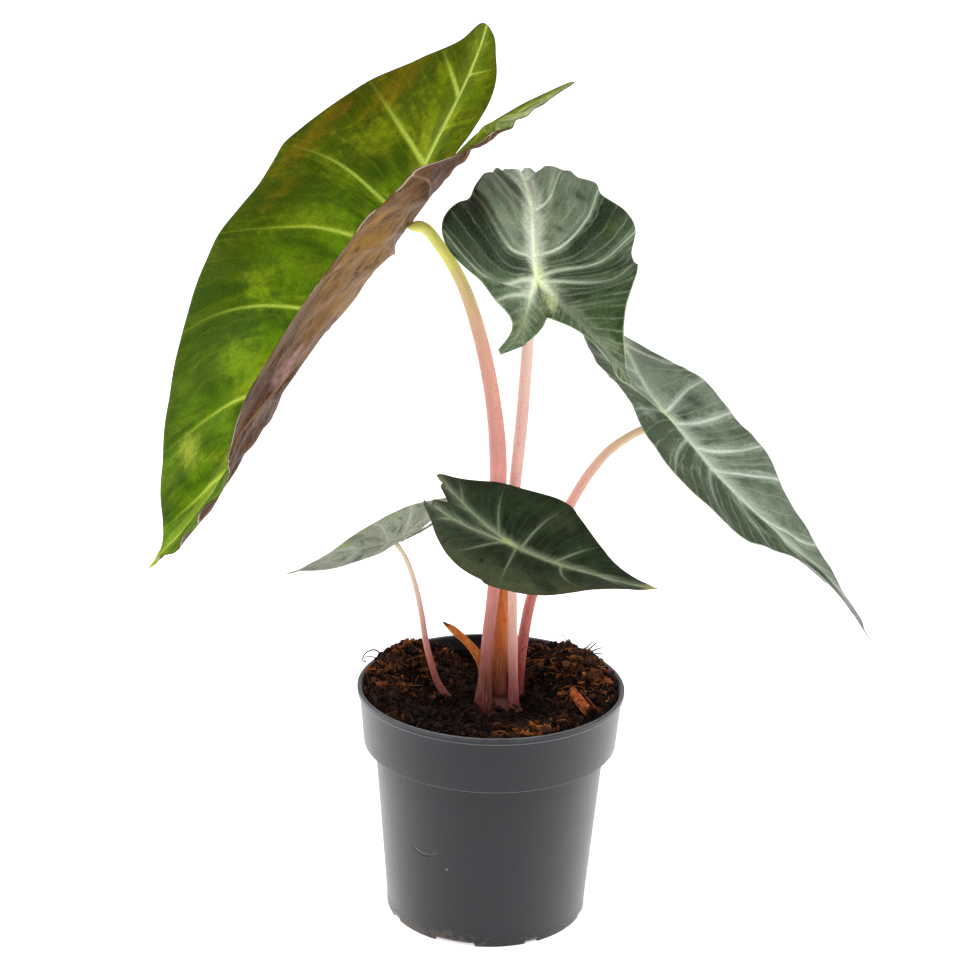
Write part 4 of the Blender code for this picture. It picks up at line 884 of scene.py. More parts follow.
def lower_skin(name):
    """Aroid leaf, lower face: duller skin with raised veins and a purple-brown flush. It gives a
    soft greyish sheen over a warm brown, with a clear network of paler veins."""
    look = {**COMMON_LOOK, **LOOKS[name]}
    finish, tree, shader = new_finish(name + "_lower_skin", IOR=1.45,
                                      Specular_IOR_Level=look["under_wax"])
    m = leaf_marks(tree)
    tone = add(tree, RANGE, {0: m["broad"], 1: 0.38, 2: 0.62}, **SOFT)
    fleck = add(tree, RANGE, {0: m["ragged"], 1: 0.5, 2: 0.68}, **SOFT)
    outward = add(tree, RANGE, {0: m["u"], 1: 0.3, 2: 1.0}, **SOFT)
    net = vein_net(tree, m, 0.3, 0.4, 0.13)
    line = times(tree, add(tree, MATH, {0: times(tree, m["q"], float(look["lines"])), 1: 0.5},
                           operation="PINGPONG"), m["gap"], 1 / look["lines"])
    line = add(tree, RANGE, {0: line, 1: 0.1, 2: 0.5, 3: 1.0, 4: 0.0}, **SOFT)
    core = add(tree, RANGE, {0: m["core"], 1: 0.6, 2: 1.5, 3: 1.0, 4: 0.0}, **SOFT)
    middle, spread = look["under_glow"]
    along = add(tree, MATH, {0: add(tree, MATH, {0: m["a"], 1: middle}, operation="SUBTRACT")},
                operation="ABSOLUTE")
    zone = times(tree, add(tree, RANGE, {0: along, 1: 0.2 * spread, 2: spread, 3: 1.0, 4: 0.0}, **SOFT),
                 add(tree, RANGE, {0: m["broad"], 1: 0.34, 2: 0.56, 3: 0.3, 4: 1.0}, **SOFT))
    silver = times(tree, add(tree, RANGE, {0: m["edge"], 1: 0.3, 2: 1.6, 3: 0.7, 4: 0.0}, **SOFT),
                   add(tree, RANGE, {0: m["broad"], 1: 0.4, 2: 0.52}, **SOFT))
    # crumpled skin, 15 mm apart: broken folds, sunk in the relief and darkened as painted shade,
    # with a painted highlight on the paler ridge beside them
    fold = add(tree, "ShaderNodeMapping", {0: m["flat"], 2: (0.0, 0.0, 0.5), 3: (0.7, 1.6, 1.0)})
    fold = add(tree, NOISE, {"Vector": fold, "Scale": 0.04, "Detail": 3.0, "Distortion": 1.0}, out=0)
    fold = add(tree, MATH, {0: add(tree, MATH, {0: fold, 1: 0.5}, operation="SUBTRACT")},
               operation="ABSOLUTE")
    often = add(tree, RANGE, {0: m["broad"], 1: 0.4, 2: 0.6, 3: 0.1, 4: 1.0}, **SOFT)
    furrow_and_shadow = times(tree, add(tree, RANGE, {0: fold, 1: 0.008, 2: 0.035, 3: 1.0, 4: 0.0}, **SOFT), often)
    ridge_highlight = times(tree, add(tree, RANGE, {0: fold, 1: 0.03, 2: 0.1, 3: 1.0, 4: 0.0}, **SOFT), often)
    # creases that run lengthwise, about 2.5 mm apart
    crease = add(tree, "ShaderNodeMapping", {0: m["flat"], 3: (0.045, 0.4, 0)})
    crease = add(tree, NOISE, {"Vector": crease, "Scale": 1.0, "Detail": 4.0, "Distortion": 0.8}, out=0)
    skin = layered(tree, look["under"], [
        (tone, look["under_light"]), (times(tree, fleck, 0.6), look["under_dark"]),
        (times(tree, outward, tone, 0.5), look["under"]), (times(tree, zone, 0.85), look["under_gold"]),
        *[(cloud(tree, m, *place, amount), code) for *place, amount, code in look["under_clouds"]],
        (add(tree, RANGE, {0: crease, 1: 0.5, 2: 0.7, 3: 0.0, 4: 0.35}, **SOFT), look["under_dark"]),
        (add(tree, RANGE, {0: crease, 1: 0.32, 2: 0.46, 3: 0.45, 4: 0.0}, **SOFT), look["under_light"]),
        (times(tree, ridge_highlight, 0.4), look["under_light"]),
        (times(tree, furrow_and_shadow, look["crumpled"]), look["under_dark"]),
        (times(tree, net, 0.22), look["under_vein"]), (times(tree, line, 0.2), look["under_vein"]),
        (times(tree, core, 0.8), look["under_vein"]), (silver, look["under_edge"])])
    rough = add(tree, RANGE, {0: m["ragged"], 1: 0.3, 2: 0.7, 3: 0.42, 4: 0.58})
    relief = weighted(tree, (m["grain"], 0.5), (net, 0.4), (line, 0.3), (crease, -1.2),
                      (furrow_and_shadow, -1.5 * look["crumpled"]))
    dress(tree, shader, skin, rough, relief, 0.7, 0.0006)
    return finish


# Stems

def stem_skin(name):
    """Fresh leaf stem: smooth, water-filled and slightly see-through. It gives a soft glow through
    the edges, a satin highlight, fine lengthwise streaks and dark red dashes towards the soil."""
    spec = STEMS[name]
    finish, tree, shader = new_finish(name + "_skin", IOR=1.42, Specular_IOR_Level=0.35,
                                      Subsurface_Weight=0.3,
                                      Subsurface_Scale=0.003, Subsurface_Radius=(1.0, 0.45, 0.3))
    place = add(tree, "ShaderNodeTexCoord", out="Object")
    along = add(tree, "ShaderNodeAttribute", out="Fac", attribute_name="along")
    wander = add(tree, NOISE, {"Vector": place, "Scale": 90.0, "Detail": 3.0}, out=0)
    base = graded(tree, along, wander, 0.1, spec["colours"])
    # streaks 0.9 mm wide and 20 mm long, dashes 1.2 mm wide and 4 mm long
    streak = add(tree, NOISE, {"Vector": add(tree, "ShaderNodeMapping", {0: place, 3: (1100, 1100, 50)}),
                               "Scale": 1.0, "Detail": 2.0}, out=0)
    streak = add(tree, RANGE, {0: streak, 1: 0.45, 2: 0.7}, **SOFT)
    cells = add(tree, "ShaderNodeMapping", {0: place, 3: (800, 800, 260)})
    dash = add(tree, "ShaderNodeTexVoronoi", {"Vector": cells, "Scale": 1.0}, out=0)
    base_wards = add(tree, RANGE, {0: along, 1: 0.0, 2: 0.75, 3: 0.34, 4: 0.1}, **SOFT)
    dash = add(tree, RANGE, {0: add(tree, MATH, {0: dash, 1: base_wards}, operation="SUBTRACT"),
                             1: -0.12, 2: 0.02, 3: 1.0, 4: 0.0}, **SOFT)
    dash = times(tree, dash, add(tree, RANGE, {0: wander, 1: 0.4, 2: 0.6, 3: 0.2, 4: 1.0}),
                 spec["speckle"])
    # pin-prick dots of 0.5 mm, drawn a little coarser than the real 0.2 mm
    dots = add(tree, "ShaderNodeTexVoronoi", {"Vector": place, "Scale": 700.0}, out=0)
    dots = times(tree, add(tree, RANGE, {0: dots, 1: 0.18, 2: 0.3, 3: 1.0, 4: 0.0}, **SOFT),
                 add(tree, RANGE, {0: along, 1: 0.7, 2: 0.9, 3: 0.35, 4: 0.05}))
    skin = layered(tree, base, [(times(tree, streak, 0.08), "#f6e6da"), (dots, "#b85a56"),
                                (times(tree, dash, 0.8), "#6d2029")])
    rough = add(tree, RANGE, {0: wander, 1: 0.3, 2: 0.7, 3: 0.3, 4: 0.45})
    dress(tree, shader, skin, rough, streak, 0.2, 0.0003)
    return finish


def stem_course(name):
    """Centre points of a stem from its foot into the underside of its leaf, and radii."""
    spec = STEMS[name]
    leaf = Leaf(LEAVES[spec["leaf"]])
    path = np.vstack([np.array(spec["path"], float), leaf.rib[2]])
    reach = np.r_[0, np.cumsum(np.linalg.norm(np.diff(path, axis=0), axis=1))]
    tilt = math.acos(min(1.0, abs(unit(path[-1] - path[-2]) @ leaf.frame(np.array(0.0))[1])))
    stop = 1.15 / math.cos(tilt) + 0.35 * spec["radii"][-1] * math.tan(tilt)
    at = np.linspace(0.0, reach[-1] - stop, STEM_ROWS)
    share = at / at[-1]
    radii = hermite(np.linspace(0, 1, len(spec["radii"])), spec["radii"], share)
    radii *= 1 + 0.16 * rise_between(share, 0.94, 0.99) - 0.55 * rise_between(share, 0.985, 1.0)
    points = hermite(reach, path, at)
    swell = np.exp(-((points[:, 2] - SOIL_LEVEL - 1) / 7) ** 2)
    radii *= (1 + (spec["foot"] - 1) * swell
              + 0.012 * np.sin(points[:, 2] / 3.1) * np.sin(points[:, 2] / 5.3))
    return points, radii


def make_stem(name):
    """One leaf stem, from the soil into the underside of its leaf."""
    points, radii = stem_course(name)
    sides = STEM_SIDES
    verts, faces = tube(points, radii, sides)
    # a shallow channel and slight flats, as a leaf stem is never quite round
    turn = np.tile(2 * np.pi * np.arange(sides) / sides, len(points))
    centre = np.repeat(points, sides, axis=0)
    verts = centre + (verts - centre) * (1 + 0.03 * np.cos(2 * turn) - 0.05 * np.exp(
        -((turn - math.pi) / 0.35) ** 2))[:, None]
    along = np.repeat(np.linspace(0, 1, len(points)), sides)
    low = STEMS[name]["path"][0][2]
    seen = np.clip((verts[:, 2] - SOIL_LEVEL) / (points[-1][2] - SOIL_LEVEL), 0, 1)
    return make_piece(name + "_stem", verts, faces, [stem_skin(name)], [name],
                      {"along": np.where(low < SOIL_LEVEL, seen * 0.5 + along * 0.5, along)})


# Pot

def pot_plastic():
    """Injection-moulded polypropylene, charcoal: near-black with a satin skin. It gives soft wide
    reflections, faint draw marks, rubbed pale scuffs and soil at the foot. The satin grain scatters
    light at glancing angles, which the sheen stands for, so the sides go pale."""
    finish, tree, shader = new_finish("charcoal_polypropylene", IOR=1.49, Specular_IOR_Level=0.31,
                                      Sheen_Weight=0.55, Sheen_Roughness=0.45)
    place = place_in_mm(tree)
    x, y, z = add(tree, "ShaderNodeSeparateXYZ", {0: place}).outputs
    cloud = add(tree, NOISE, {"Vector": place, "Scale": 1 / 28, "Detail": 5.0, "Roughness": 0.65}, out=0)
    # moulding grain about 0.8 mm across, drawn coarser than the real 0.2 mm so that it shows
    grain = add(tree, NOISE, {"Vector": place, "Scale": 1 / 0.8, "Detail": 2.0}, out=0)
    # draw marks from the mould: 0.7 mm wide, 60 mm high
    drawn = add(tree, NOISE, {"Vector": add(tree, "ShaderNodeMapping", {0: place, 3: (1.4, 1.4, 0.016)}),
                              "Scale": 1.0, "Detail": 3.0}, out=0)
    drawn = add(tree, RANGE, {0: drawn, 1: 0.52, 2: 0.72}, **SOFT)
    # handling scuffs: short level scratches
    scuff = add(tree, "ShaderNodeMapping", {0: place, 2: (0.2, 0.5, 0.1), 3: (0.09, 0.09, 1.6)})
    scuff = add(tree, NOISE, {"Vector": scuff, "Scale": 1.0, "Detail": 4.0}, out=0)
    scuff = times(tree, add(tree, RANGE, {0: scuff, 1: 0.66, 2: 0.72}, **SOFT),
                  add(tree, RANGE, {0: cloud, 1: 0.5, 2: 0.64}, **SOFT))
    # the knocked crescent on the left of the body
    knock = add(tree, "ShaderNodeVectorMath", {0: place, 1: KNOCK_AT}, out="Value",
                operation="DISTANCE")
    knock = add(tree, MATH, {0: knock, 1: KNOCK_R}, operation="SUBTRACT")
    knock = add(tree, RANGE, {0: add(tree, MATH, {0: knock}, operation="ABSOLUTE"), 1: 0.15, 2: 0.8,
                              3: 1.0, 4: 0.0}, **SOFT)
    knock = times(tree, knock, add(tree, RANGE, {0: z, 1: 44.0, 2: 46.5, 3: 1.0, 4: 0.0}, **SOFT),
                  add(tree, RANGE, {0: x, 1: -33.0, 2: -31.0}, **SOFT))
    # dried soil splashed and rubbed into the foot, mostly on the left front
    splash = add(tree, NOISE, {"Vector": place, "Scale": 1 / 4, "Detail": 5.0, "Roughness": 0.7}, out=0)
    low = add(tree, RANGE, {0: z, 1: 2.0, 2: 14.0, 3: 0.08, 4: -0.34}, **SOFT)
    left = add(tree, RANGE, {0: x, 1: -10.0, 2: 8.0, 3: 0.05, 4: -0.1}, **SOFT)
    splash = weighted(tree, (splash, 1.0), (low, 1.0), (left, 1.0))
    splash = add(tree, RANGE, {0: splash, 1: 0.54, 2: 0.6}, **SOFT)
    splash = times(tree, splash, add(tree, RANGE, {0: y, 1: -12.0, 2: 4.0, 3: 1.0, 4: 0.15}, **SOFT))
    # a small pale nick beside the crescent
    nick = add(tree, "ShaderNodeVectorMath", {0: place, 1: NICK_AT}, out=0, operation="SUBTRACT")
    nick = add(tree, "ShaderNodeMapping", {0: nick, 2: (0.0, math.radians(-50), 0.0), 3: (1.1, 0.4, 0.9)})
    nick = add(tree, "ShaderNodeVectorMath", {0: nick}, out="Value", operation="LENGTH")
    nick = add(tree, RANGE, {0: nick, 1: 0.5, 2: 0.9, 3: 0.28, 4: 0.0}, **SOFT)
    # soil dust that clings inside, above the soil
    dusty = times(tree, add(tree, RANGE, {0: z, 1: SOIL_LEVEL + 1, 2: RIM_Z - 2, 3: 1.0, 4: 0.0}, **SOFT),
                  add(tree, RANGE, {0: z, 1: SOIL_LEVEL - 4, 2: SOIL_LEVEL - 3}, **SOFT),
                  add(tree, "ShaderNodeAttribute", out="Fac", attribute_name="inside"))
    # the top of the lip goes pale: rubbed wear, and a painted highlight along the lip
    lip_wear_and_highlight = add(tree, RANGE, {0: z, 1: RIM_Z - 1.6, 2: RIM_Z - 0.2}, **SOFT)
    lip_wear_and_highlight = times(tree, lip_wear_and_highlight, add(tree, RANGE, {0: cloud, 1: 0.3, 2: 0.6}, **SOFT))
    skin = layered(tree, "#0c0e15", [
        (add(tree, RANGE, {0: cloud, 1: 0.4, 2: 0.62}, **SOFT), "#101219"),
        (times(tree, drawn, 0.15), "#25272d"), (times(tree, scuff, 0.2), "#63666c"),
        (times(tree, lip_wear_and_highlight, 0.35), "#5c5f66"), (times(tree, knock, 0.9), "#030303"), (nick, "#9a8f92"),
        (times(tree, dusty, 0.5), "#2e1a10"),
        (times(tree, splash, add(tree, RANGE, {0: grain, 1: 0.3, 2: 0.7, 3: 0.45, 4: 1.0})), "#4d403a")])
    rough = add(tree, RANGE, {0: cloud, 1: 0.35, 2: 0.65, 3: 0.42, 4: 0.52})
    rough = weighted(tree, (rough, 1.0), (scuff, 0.2), (splash, 0.35))
    relief = weighted(tree, (drawn, 0.15), (grain, 0.35), (knock, -9.0), (splash, 1.2))
    dress(tree, shader, skin, rough, relief, 0.3, 0.0003)
    return finish


def rounded(profile, corners, steps=5):
    """Profile with some of its corners rounded off to a given radius."""
    profile = [np.array(p, float) for p in profile]
    made = []
    for i, point in enumerate(profile):
        radius = corners.get(i, 0)
        if not radius:
            made.append(tuple(point))
            continue
        before, after = unit(profile[i - 1] - point) * radius, unit(profile[i + 1] - point) * radius
        for t in np.linspace(0, 1, steps + 1):
            made.append(tuple(point + before * (1 - t) ** 2 + after * t**2))
    return made


def make_pot():
    """Thin nursery pot: lip bead, collar, step, tapered body, rounded foot, drainage notches."""
    slope = (RIM_R - COLLAR_FOOT_R) / (RIM_Z - STEP_Z)
    profile = [(0.05, 2.0), (39.5, 2.0), (BODY_FOOT_R - WALL, 6.5), (BODY_TOP_R - WALL, STEP_Z - 1.5),
               (COLLAR_FOOT_R - WALL, STEP_Z + WALL), (RIM_R - WALL - 2 * slope, RIM_Z - 2.0),
               (RIM_R - WALL + 0.1, RIM_Z), (RIM_R + 0.75, RIM_Z), (RIM_R + 0.75, RIM_Z - 2.5),
               (RIM_R - 0.35, RIM_Z - 3.0), (COLLAR_FOOT_R, STEP_Z - 0.2),
               (COLLAR_FOOT_R - 0.5, STEP_Z - 0.5),
               (BODY_TOP_R + 0.1, STEP_Z - 2.6), (BODY_TOP_R - 0.3, STEP_Z - 7), (BODY_FOOT_R, 5.0),
               (BODY_FOOT_R - 0.1, 0.0), (BASE_R - 4, 0.0), (BASE_R - 5, 0.8), (0.05, 0.8)]
    profile = rounded(profile, {1: 2, 2: 2, 3: 1, 4: 1, 5: 0.6, 6: 0.5, 7: 0.45, 8: 0.6, 9: 0.3, 10: 0.2,
                                11: 0.1, 12: 0.5, 14: 2, 15: 0.8, 16: 0.4, 17: 0.4})
    fine = [profile[0]]
    for a, b in zip(profile, profile[1:]):
        pieces = max(1, int(math.dist(a, b) / 4))
        fine += [tuple(np.array(a) + (np.array(b) - a) * (i + 1) / pieces) for i in range(pieces)]
    sides = POT_SIDES
    turn = 2 * np.pi * np.arange(sides) / sides
    points, inside = [], []
    reached = [z for r, z in fine].index(max(z for r, z in fine))
    for i, (r, z) in enumerate(fine):
        # thin walls never come out quite round
        sway = 1 + 0.0022 * np.sin(2 * turn + 0.8) * z / RIM_Z + 0.0008 * np.sin(5 * turn + z / 30)
        points.append(np.stack([r * sway * np.cos(turn), r * sway * np.sin(turn), np.full(sides, z)], -1))
        inside += [1.0 if i < reached else 0.0] * sides
    faces = ring_faces(len(fine), sides)
    faces += [tuple(range(sides))[::-1], tuple(range((len(fine) - 1) * sides, len(fine) * sides))]
    pot = make_piece("nursery_pot", np.vstack(points), faces, [pot_plastic()], ["pot"],
                     {"inside": inside})
    work = bmesh.new()
    work.from_mesh(pot.data)
    bmesh.ops.recalc_face_normals(work, faces=work.faces)
    work.to_mesh(pot.data)
    work.free()
    notches = bmesh.new()
    for i in range(NOTCHES):
        angle = 2 * math.pi * (i + 0.62) / NOTCHES
        wide, high = (0.019, 0.0028) if i == WIDE_NOTCH else (0.0075, 0.0019)
        place = Matrix.Rotation(angle, 4, "Z") @ Matrix.Translation((45.4 * MM, 0, 0.4 * MM))
        block = bmesh.ops.create_cube(notches, size=1.0, matrix=place @ Matrix.Diagonal(
            (0.012, wide, high, 1)))
        edges = [e for e in notches.edges if set(e.verts) <= set(block["verts"])]
        bmesh.ops.bevel(notches, geom=edges, offset=0.0007, segments=3, affect="EDGES")
    mesh = bpy.data.meshes.new("notches")
    notches.to_mesh(mesh)
    notches.free()
    cutter = placed("notches", mesh)
    cut = pot.modifiers.new("notches", "BOOLEAN")
    cut.object = cutter
    cut.solver = "EXACT"
    ready = pot.evaluated_get(bpy.context.evaluated_depsgraph_get())
    cleaned = bpy.data.meshes.new_from_object(ready)
    pot.modifiers.clear()
    pot.data = cleaned
    bpy.data.objects.remove(cutter)
    pot.data.shade_smooth()
    return pot


# Soil

def soil_base(x, y):
    """Height of the soil before its lumps, as the stems and the chip need it."""
    z = (SOIL_LEVEL + 0.9 * math.sin(0.31 * x + 1.3) * math.cos(0.27 * y)
         + 0.5 * math.sin(0.7 * x - 0.55 * y))
    for mx, my, height, spread in MOUNDS:
        z += height * math.exp(-((x - mx) ** 2 + (y - my) ** 2) / (2 * spread**2))
    reach, turn = math.hypot(x, y), math.degrees(math.atan2(y, x))
    heap = float(np.interp(turn, *zip(*RIM_HEAPS))) * (1 - 0.12 * float(rise_between(reach, 55.5, 57.5)))
    climb = float(rise_between(reach, 25, 52))
    return z * (1 - climb) + (SOIL_LEVEL + heap) * climb


def soil_top(x, y):
    """Height of the crumbly top and how far a place stands out of its hollows, 0 to 1."""
    base = soil_base(x, y)
    lump = noise.fractal(Vector((x / 9, y / 9, 0.3)), 0.9, 2.1, 3)
    near, _ = noise.voronoi(Vector((x / 4.6 + lump * 0.5, y / 4.6, 1.7)))
    crumb = min(1.0, (near[1] - near[0]) * 1.7)
    near, _ = noise.voronoi(Vector((x / 1.9, y / 1.9 + lump, 5.1)))
    fine = min(1.0, (near[1] - near[0]) * 1.6)
    shred = noise.turbulence(Vector((x / 2.6, y / 2.6, base / 9)), 3, False)
    out = 2.3 * lump + 1.3 * crumb**0.7 * (0.6 + 0.6 * lump) + 0.8 * fine + 2.6 * (shred - 0.5) - 1.2
    for sx, sy, radius in KEEP_CLEAR:
        reach = math.hypot(x - sx, y - sy) / radius
        out = min(out, out * min(1.0, max(0.25, reach - 0.9)) + (0.2 if reach < 1.6 else 0))
    return base + out, min(1.0, max(0.0, 0.45 + out / 4.2))


def dampness(x, y):
    """How wet the soil is at a place: 1 soaked and near-black, -1 dry and red-brown."""
    wet, dry = (sum(math.exp(-((x - dx) ** 2 + (y - dy) ** 2) / (2 * spread**2))
                    for dx, dy, spread in places) for places in (DAMP, WARM))
    return max(-1.0, min(1.0, wet - dry))


def bit_tone(x, y):
    """Tone of one loose bit, 0 dark to 1 bright: dark where the soil is wet."""
    wet = dampness(x, y)
    return min(1.0, dice.random() ** 1.4 * (1 - 0.85 * max(0.0, wet))
               + 0.4 * max(0.0, -wet) * dice.random())


def make_soil():
    """Peat and coir: crumbly top, closed below inside the pot."""
    cells = 188
    axis = np.linspace(-1, 1, cells + 1)
    sx, sy = np.meshgrid(axis, axis, indexing="ij")
    wide = np.abs(sx) > np.abs(sy)
    big, small = np.where(wide, sx, sy), np.where(wide, sy, sx)
    turn = math.pi / 4 * small / np.where(big == 0, 1, big)
    x = np.where(wide, big * np.cos(turn), big * np.sin(turn)).ravel() * SOIL_R
    y = np.where(wide, big * np.sin(turn), big * np.cos(turn)).ravel() * SOIL_R
    top = [soil_top(float(a), float(b)) for a, b in zip(x, y)]
    z, out = np.array(top).T
    edge = np.hypot(x, y)
    z = np.where(edge > SOIL_R - 0.8, np.minimum(z, RIM_Z + 2.5), z)
    points = np.stack([x + 0.35 * np.sin(z * 3 + y), y + 0.35 * np.cos(z * 3 + x), z], -1)
    keep = (np.hypot(points[:, 0], points[:, 1]) > SOIL_R)
    points[keep, :2] *= (SOIL_R / np.hypot(points[keep, 0], points[keep, 1]))[:, None]
    n = cells + 1
    faces = grid_faces(n, n)
    loop = border(n, n)
    count = len(loop)
    start = len(points)
    skirts = [(0.985, 103.0), (0.958, 88.0), (0.945, STEP_Z + 2.0), (0.845, STEP_Z - 1), (0.8, 40.0),
              (0.7, 8.0)]
    rings = [points[loop][:, :2] * share for share, _ in skirts]
    for ring, (_, level) in zip(rings, skirts):
        points = np.vstack([points, np.column_stack([ring, np.full(count, level)])])
    damp = [dampness(a, b) for a, b in points[:, :2]]
    out = np.r_[out, np.zeros(count * len(skirts))]
    belts = [loop] + [list(range(start + i * count, start + (i + 1) * count)) for i in range(len(skirts))]
    for upper, lower in zip(belts, belts[1:]):
        for k in range(count):
            faces.append((upper[k], lower[k], lower[(k + 1) % count], upper[(k + 1) % count]))
    faces.append(tuple(belts[-1])[::-1])
    return make_piece("peat_and_coir", points, faces, [peat()], ["soil"],
                      {"stands_out": out, "damp": damp})


def peat():
    """Moist peat with coir: dark, matt, crumbly. Its hollows go near-black as painted shade, its
    red-brown lumps are painted lighter as painted light, and fine orange threads are matted into them."""
    finish, tree, shader = new_finish("moist_peat_and_coir", IOR=1.33, Specular_IOR_Level=0.2)
    place = place_in_mm(tree)
    out = add(tree, "ShaderNodeAttribute", out="Fac", attribute_name="stands_out")
    damp = add(tree, "ShaderNodeAttribute", out="Fac", attribute_name="damp")
    patch = add(tree, NOISE, {"Vector": place, "Scale": 1 / 7, "Detail": 4.0, "Roughness": 0.65}, out=0)
    crumb = add(tree, "ShaderNodeTexVoronoi", {"Vector": place, "Scale": 1 / 1.3}, out=1)
    crumb = add(tree, "ShaderNodeSeparateColor", {0: crumb}, out=0)
    fine = add(tree, NOISE, {"Vector": place, "Scale": 1 / 0.7, "Detail": 4.0, "Roughness": 0.7}, out=0)
    # matted threads 0.4 mm wide that wander over the lumps
    thread = add(tree, "ShaderNodeMapping", {0: place, 2: (0.3, 0.2, 0.9), 3: (0.25, 1.5, 0.8)})
    thread = add(tree, NOISE, {"Vector": thread, "Scale": 1.0, "Detail": 3.0, "Distortion": 1.2}, out=0)
    thread = add(tree, MATH, {0: thread, 1: 0.5}, operation="SUBTRACT")
    thread = add(tree, RANGE, {0: thread, 1: 0.0, 2: 0.03, 3: 1.0, 4: 0.0}, **SOFT)
    thread = times(tree, thread, add(tree, RANGE, {0: fine, 1: 0.5, 2: 0.62}, **SOFT),
                   add(tree, RANGE, {0: patch, 1: 0.42, 2: 0.6}, **SOFT))
    # painted light: the colour brightens where a place stands out of its hollows
    lit = weighted(tree, (out, 1.0), (fine, 0.5))
    lit = add(tree, RANGE, {0: lit, 1: 0.55, 2: 1.15}, **SOFT)
    skin = layered(tree, "#140b07", [
        (lit, "#4a2616"), (times(tree, crumb, lit, 0.6), "#74401f"),
        (times(tree, add(tree, RANGE, {0: patch, 1: 0.5, 2: 0.66}, **SOFT), lit), "#86451f"),
        (thread, "#a8683a"),
        # painted shade: the hollows between the lumps go near-black
        (add(tree, RANGE, {0: out, 1: 0.05, 2: 0.3, 3: 0.85, 4: 0.0}, **SOFT), "#0d0705"),
        (times(tree, add(tree, RANGE, {0: damp, 1: 0.0, 2: -0.8}), lit, 0.6), "#9a4d24"),
        (add(tree, RANGE, {0: damp, 1: 0.0, 2: 1.0, 3: 0.0, 4: 0.85}), "#0c0604")])
    rough = add(tree, RANGE, {0: patch, 1: 0.3, 2: 0.7, 3: 0.7, 4: 0.95})
    dress(tree, shader, skin, rough, weighted(tree, (thread, 0.5), (fine, 1.0)), 0.9, 0.0006)
    return finish


def loose_finish(name, dark, middle, bright, streaks):
    """Torn plant matter: matt, streaked lengthwise, each bit its own tone from its place."""
    finish, tree, shader = new_finish(name, IOR=1.4, Specular_IOR_Level=0.25)
    tint = add(tree, "ShaderNodeAttribute", out="Fac", attribute_name="tint")
    place = add(tree, "ShaderNodeTexCoord", out="Object")
    fine = add(tree, NOISE, {"Vector": place, "Scale": streaks, "Detail": 4.0, "Roughness": 0.7}, out=0)
    skin = layered(tree, dark, [
        (add(tree, RANGE, {0: tint, 1: 0.15, 2: 0.75}, **SOFT), middle),
        (add(tree, RANGE, {0: tint, 1: 0.7, 2: 1.0}, **SOFT), bright),
        (add(tree, RANGE, {0: fine, 1: 0.52, 2: 0.7, 3: 0.0, 4: 0.65}, **SOFT), dark)])
    rough = add(tree, RANGE, {0: fine, 1: 0.3, 2: 0.7, 3: 0.6, 4: 0.9})
    dress(tree, shader, skin, rough, fine, 0.7, 0.0004)
    return finish


def scattered(count):
    """Seeded places on the soil, half of them spread evenly and half round the tufts."""
    made = []
    while len(made) < count:
        if dice.random() < 0.5:
            sx, sy, spread = dice.choice(TUFTS)
            x, y = dice.gauss(sx, spread), dice.gauss(sy, spread)
        else:
            turn, reach = dice.uniform(0, 2 * math.pi), STREWN_R * math.sqrt(dice.random())
            x, y = reach * math.cos(turn), reach * math.sin(turn)
        clear = all(math.hypot(x - cx, y - cy) > radius * 0.8 for cx, cy, radius in KEEP_CLEAR)
        chip = math.hypot(x - CHIP_PLACE[0], (y - CHIP_PLACE[1]) / 2.0) > 5.5
        if math.hypot(x, y) < LOOSE_END and clear and chip:
            made.append((x, y, soil_top(x, y)[0]))
    return made


def strewn(name, parts, tints, slot, *finish):
    """One piece from many loose bits."""
    points, faces = joined(parts)
    return make_piece(name, points, faces, [loose_finish(*finish)], [], {"tint": tints})


def make_crumbs():
    """Loose crumbs and clods lying on the soil."""
    parts, tints = [], []
    for i, (x, y, z) in enumerate(scattered(CRUMBS)):
        size = dice.choice([0.5, 0.6, 0.8, 1.0, 1.5]) * dice.uniform(0.7, 1.3)
        ball = bmesh.new()
        bmesh.ops.create_icosphere(ball, subdivisions=2 if size > 1.0 else 1, radius=1.0)
        seed = Vector((dice.uniform(0, 99), i * 0.37, 0))
        squash = (dice.uniform(0.7, 1.3), dice.uniform(0.7, 1.3), dice.uniform(0.6, 0.9))
        points = []
        for vert in ball.verts:
            rough = 1 + 0.9 * noise.noise(vert.co * 1.6 + seed) + 0.8 * noise.noise(vert.co * 4 + seed)
            points.append([vert.co[k] * rough * size * squash[k] for k in range(3)])
        faces = [tuple(v.index for v in face.verts) for face in ball.faces]
        ball.free()
        parts.append((np.array(points) + (x, y, z + 0.35 * size), faces))
        tints += [bit_tone(x, y)] * len(points)
    return strewn("soil_crumbs", parts, tints, "soil", "peat_crumb", "#1a0e08", "#4d2b17", "#8a5027",
                  1400)


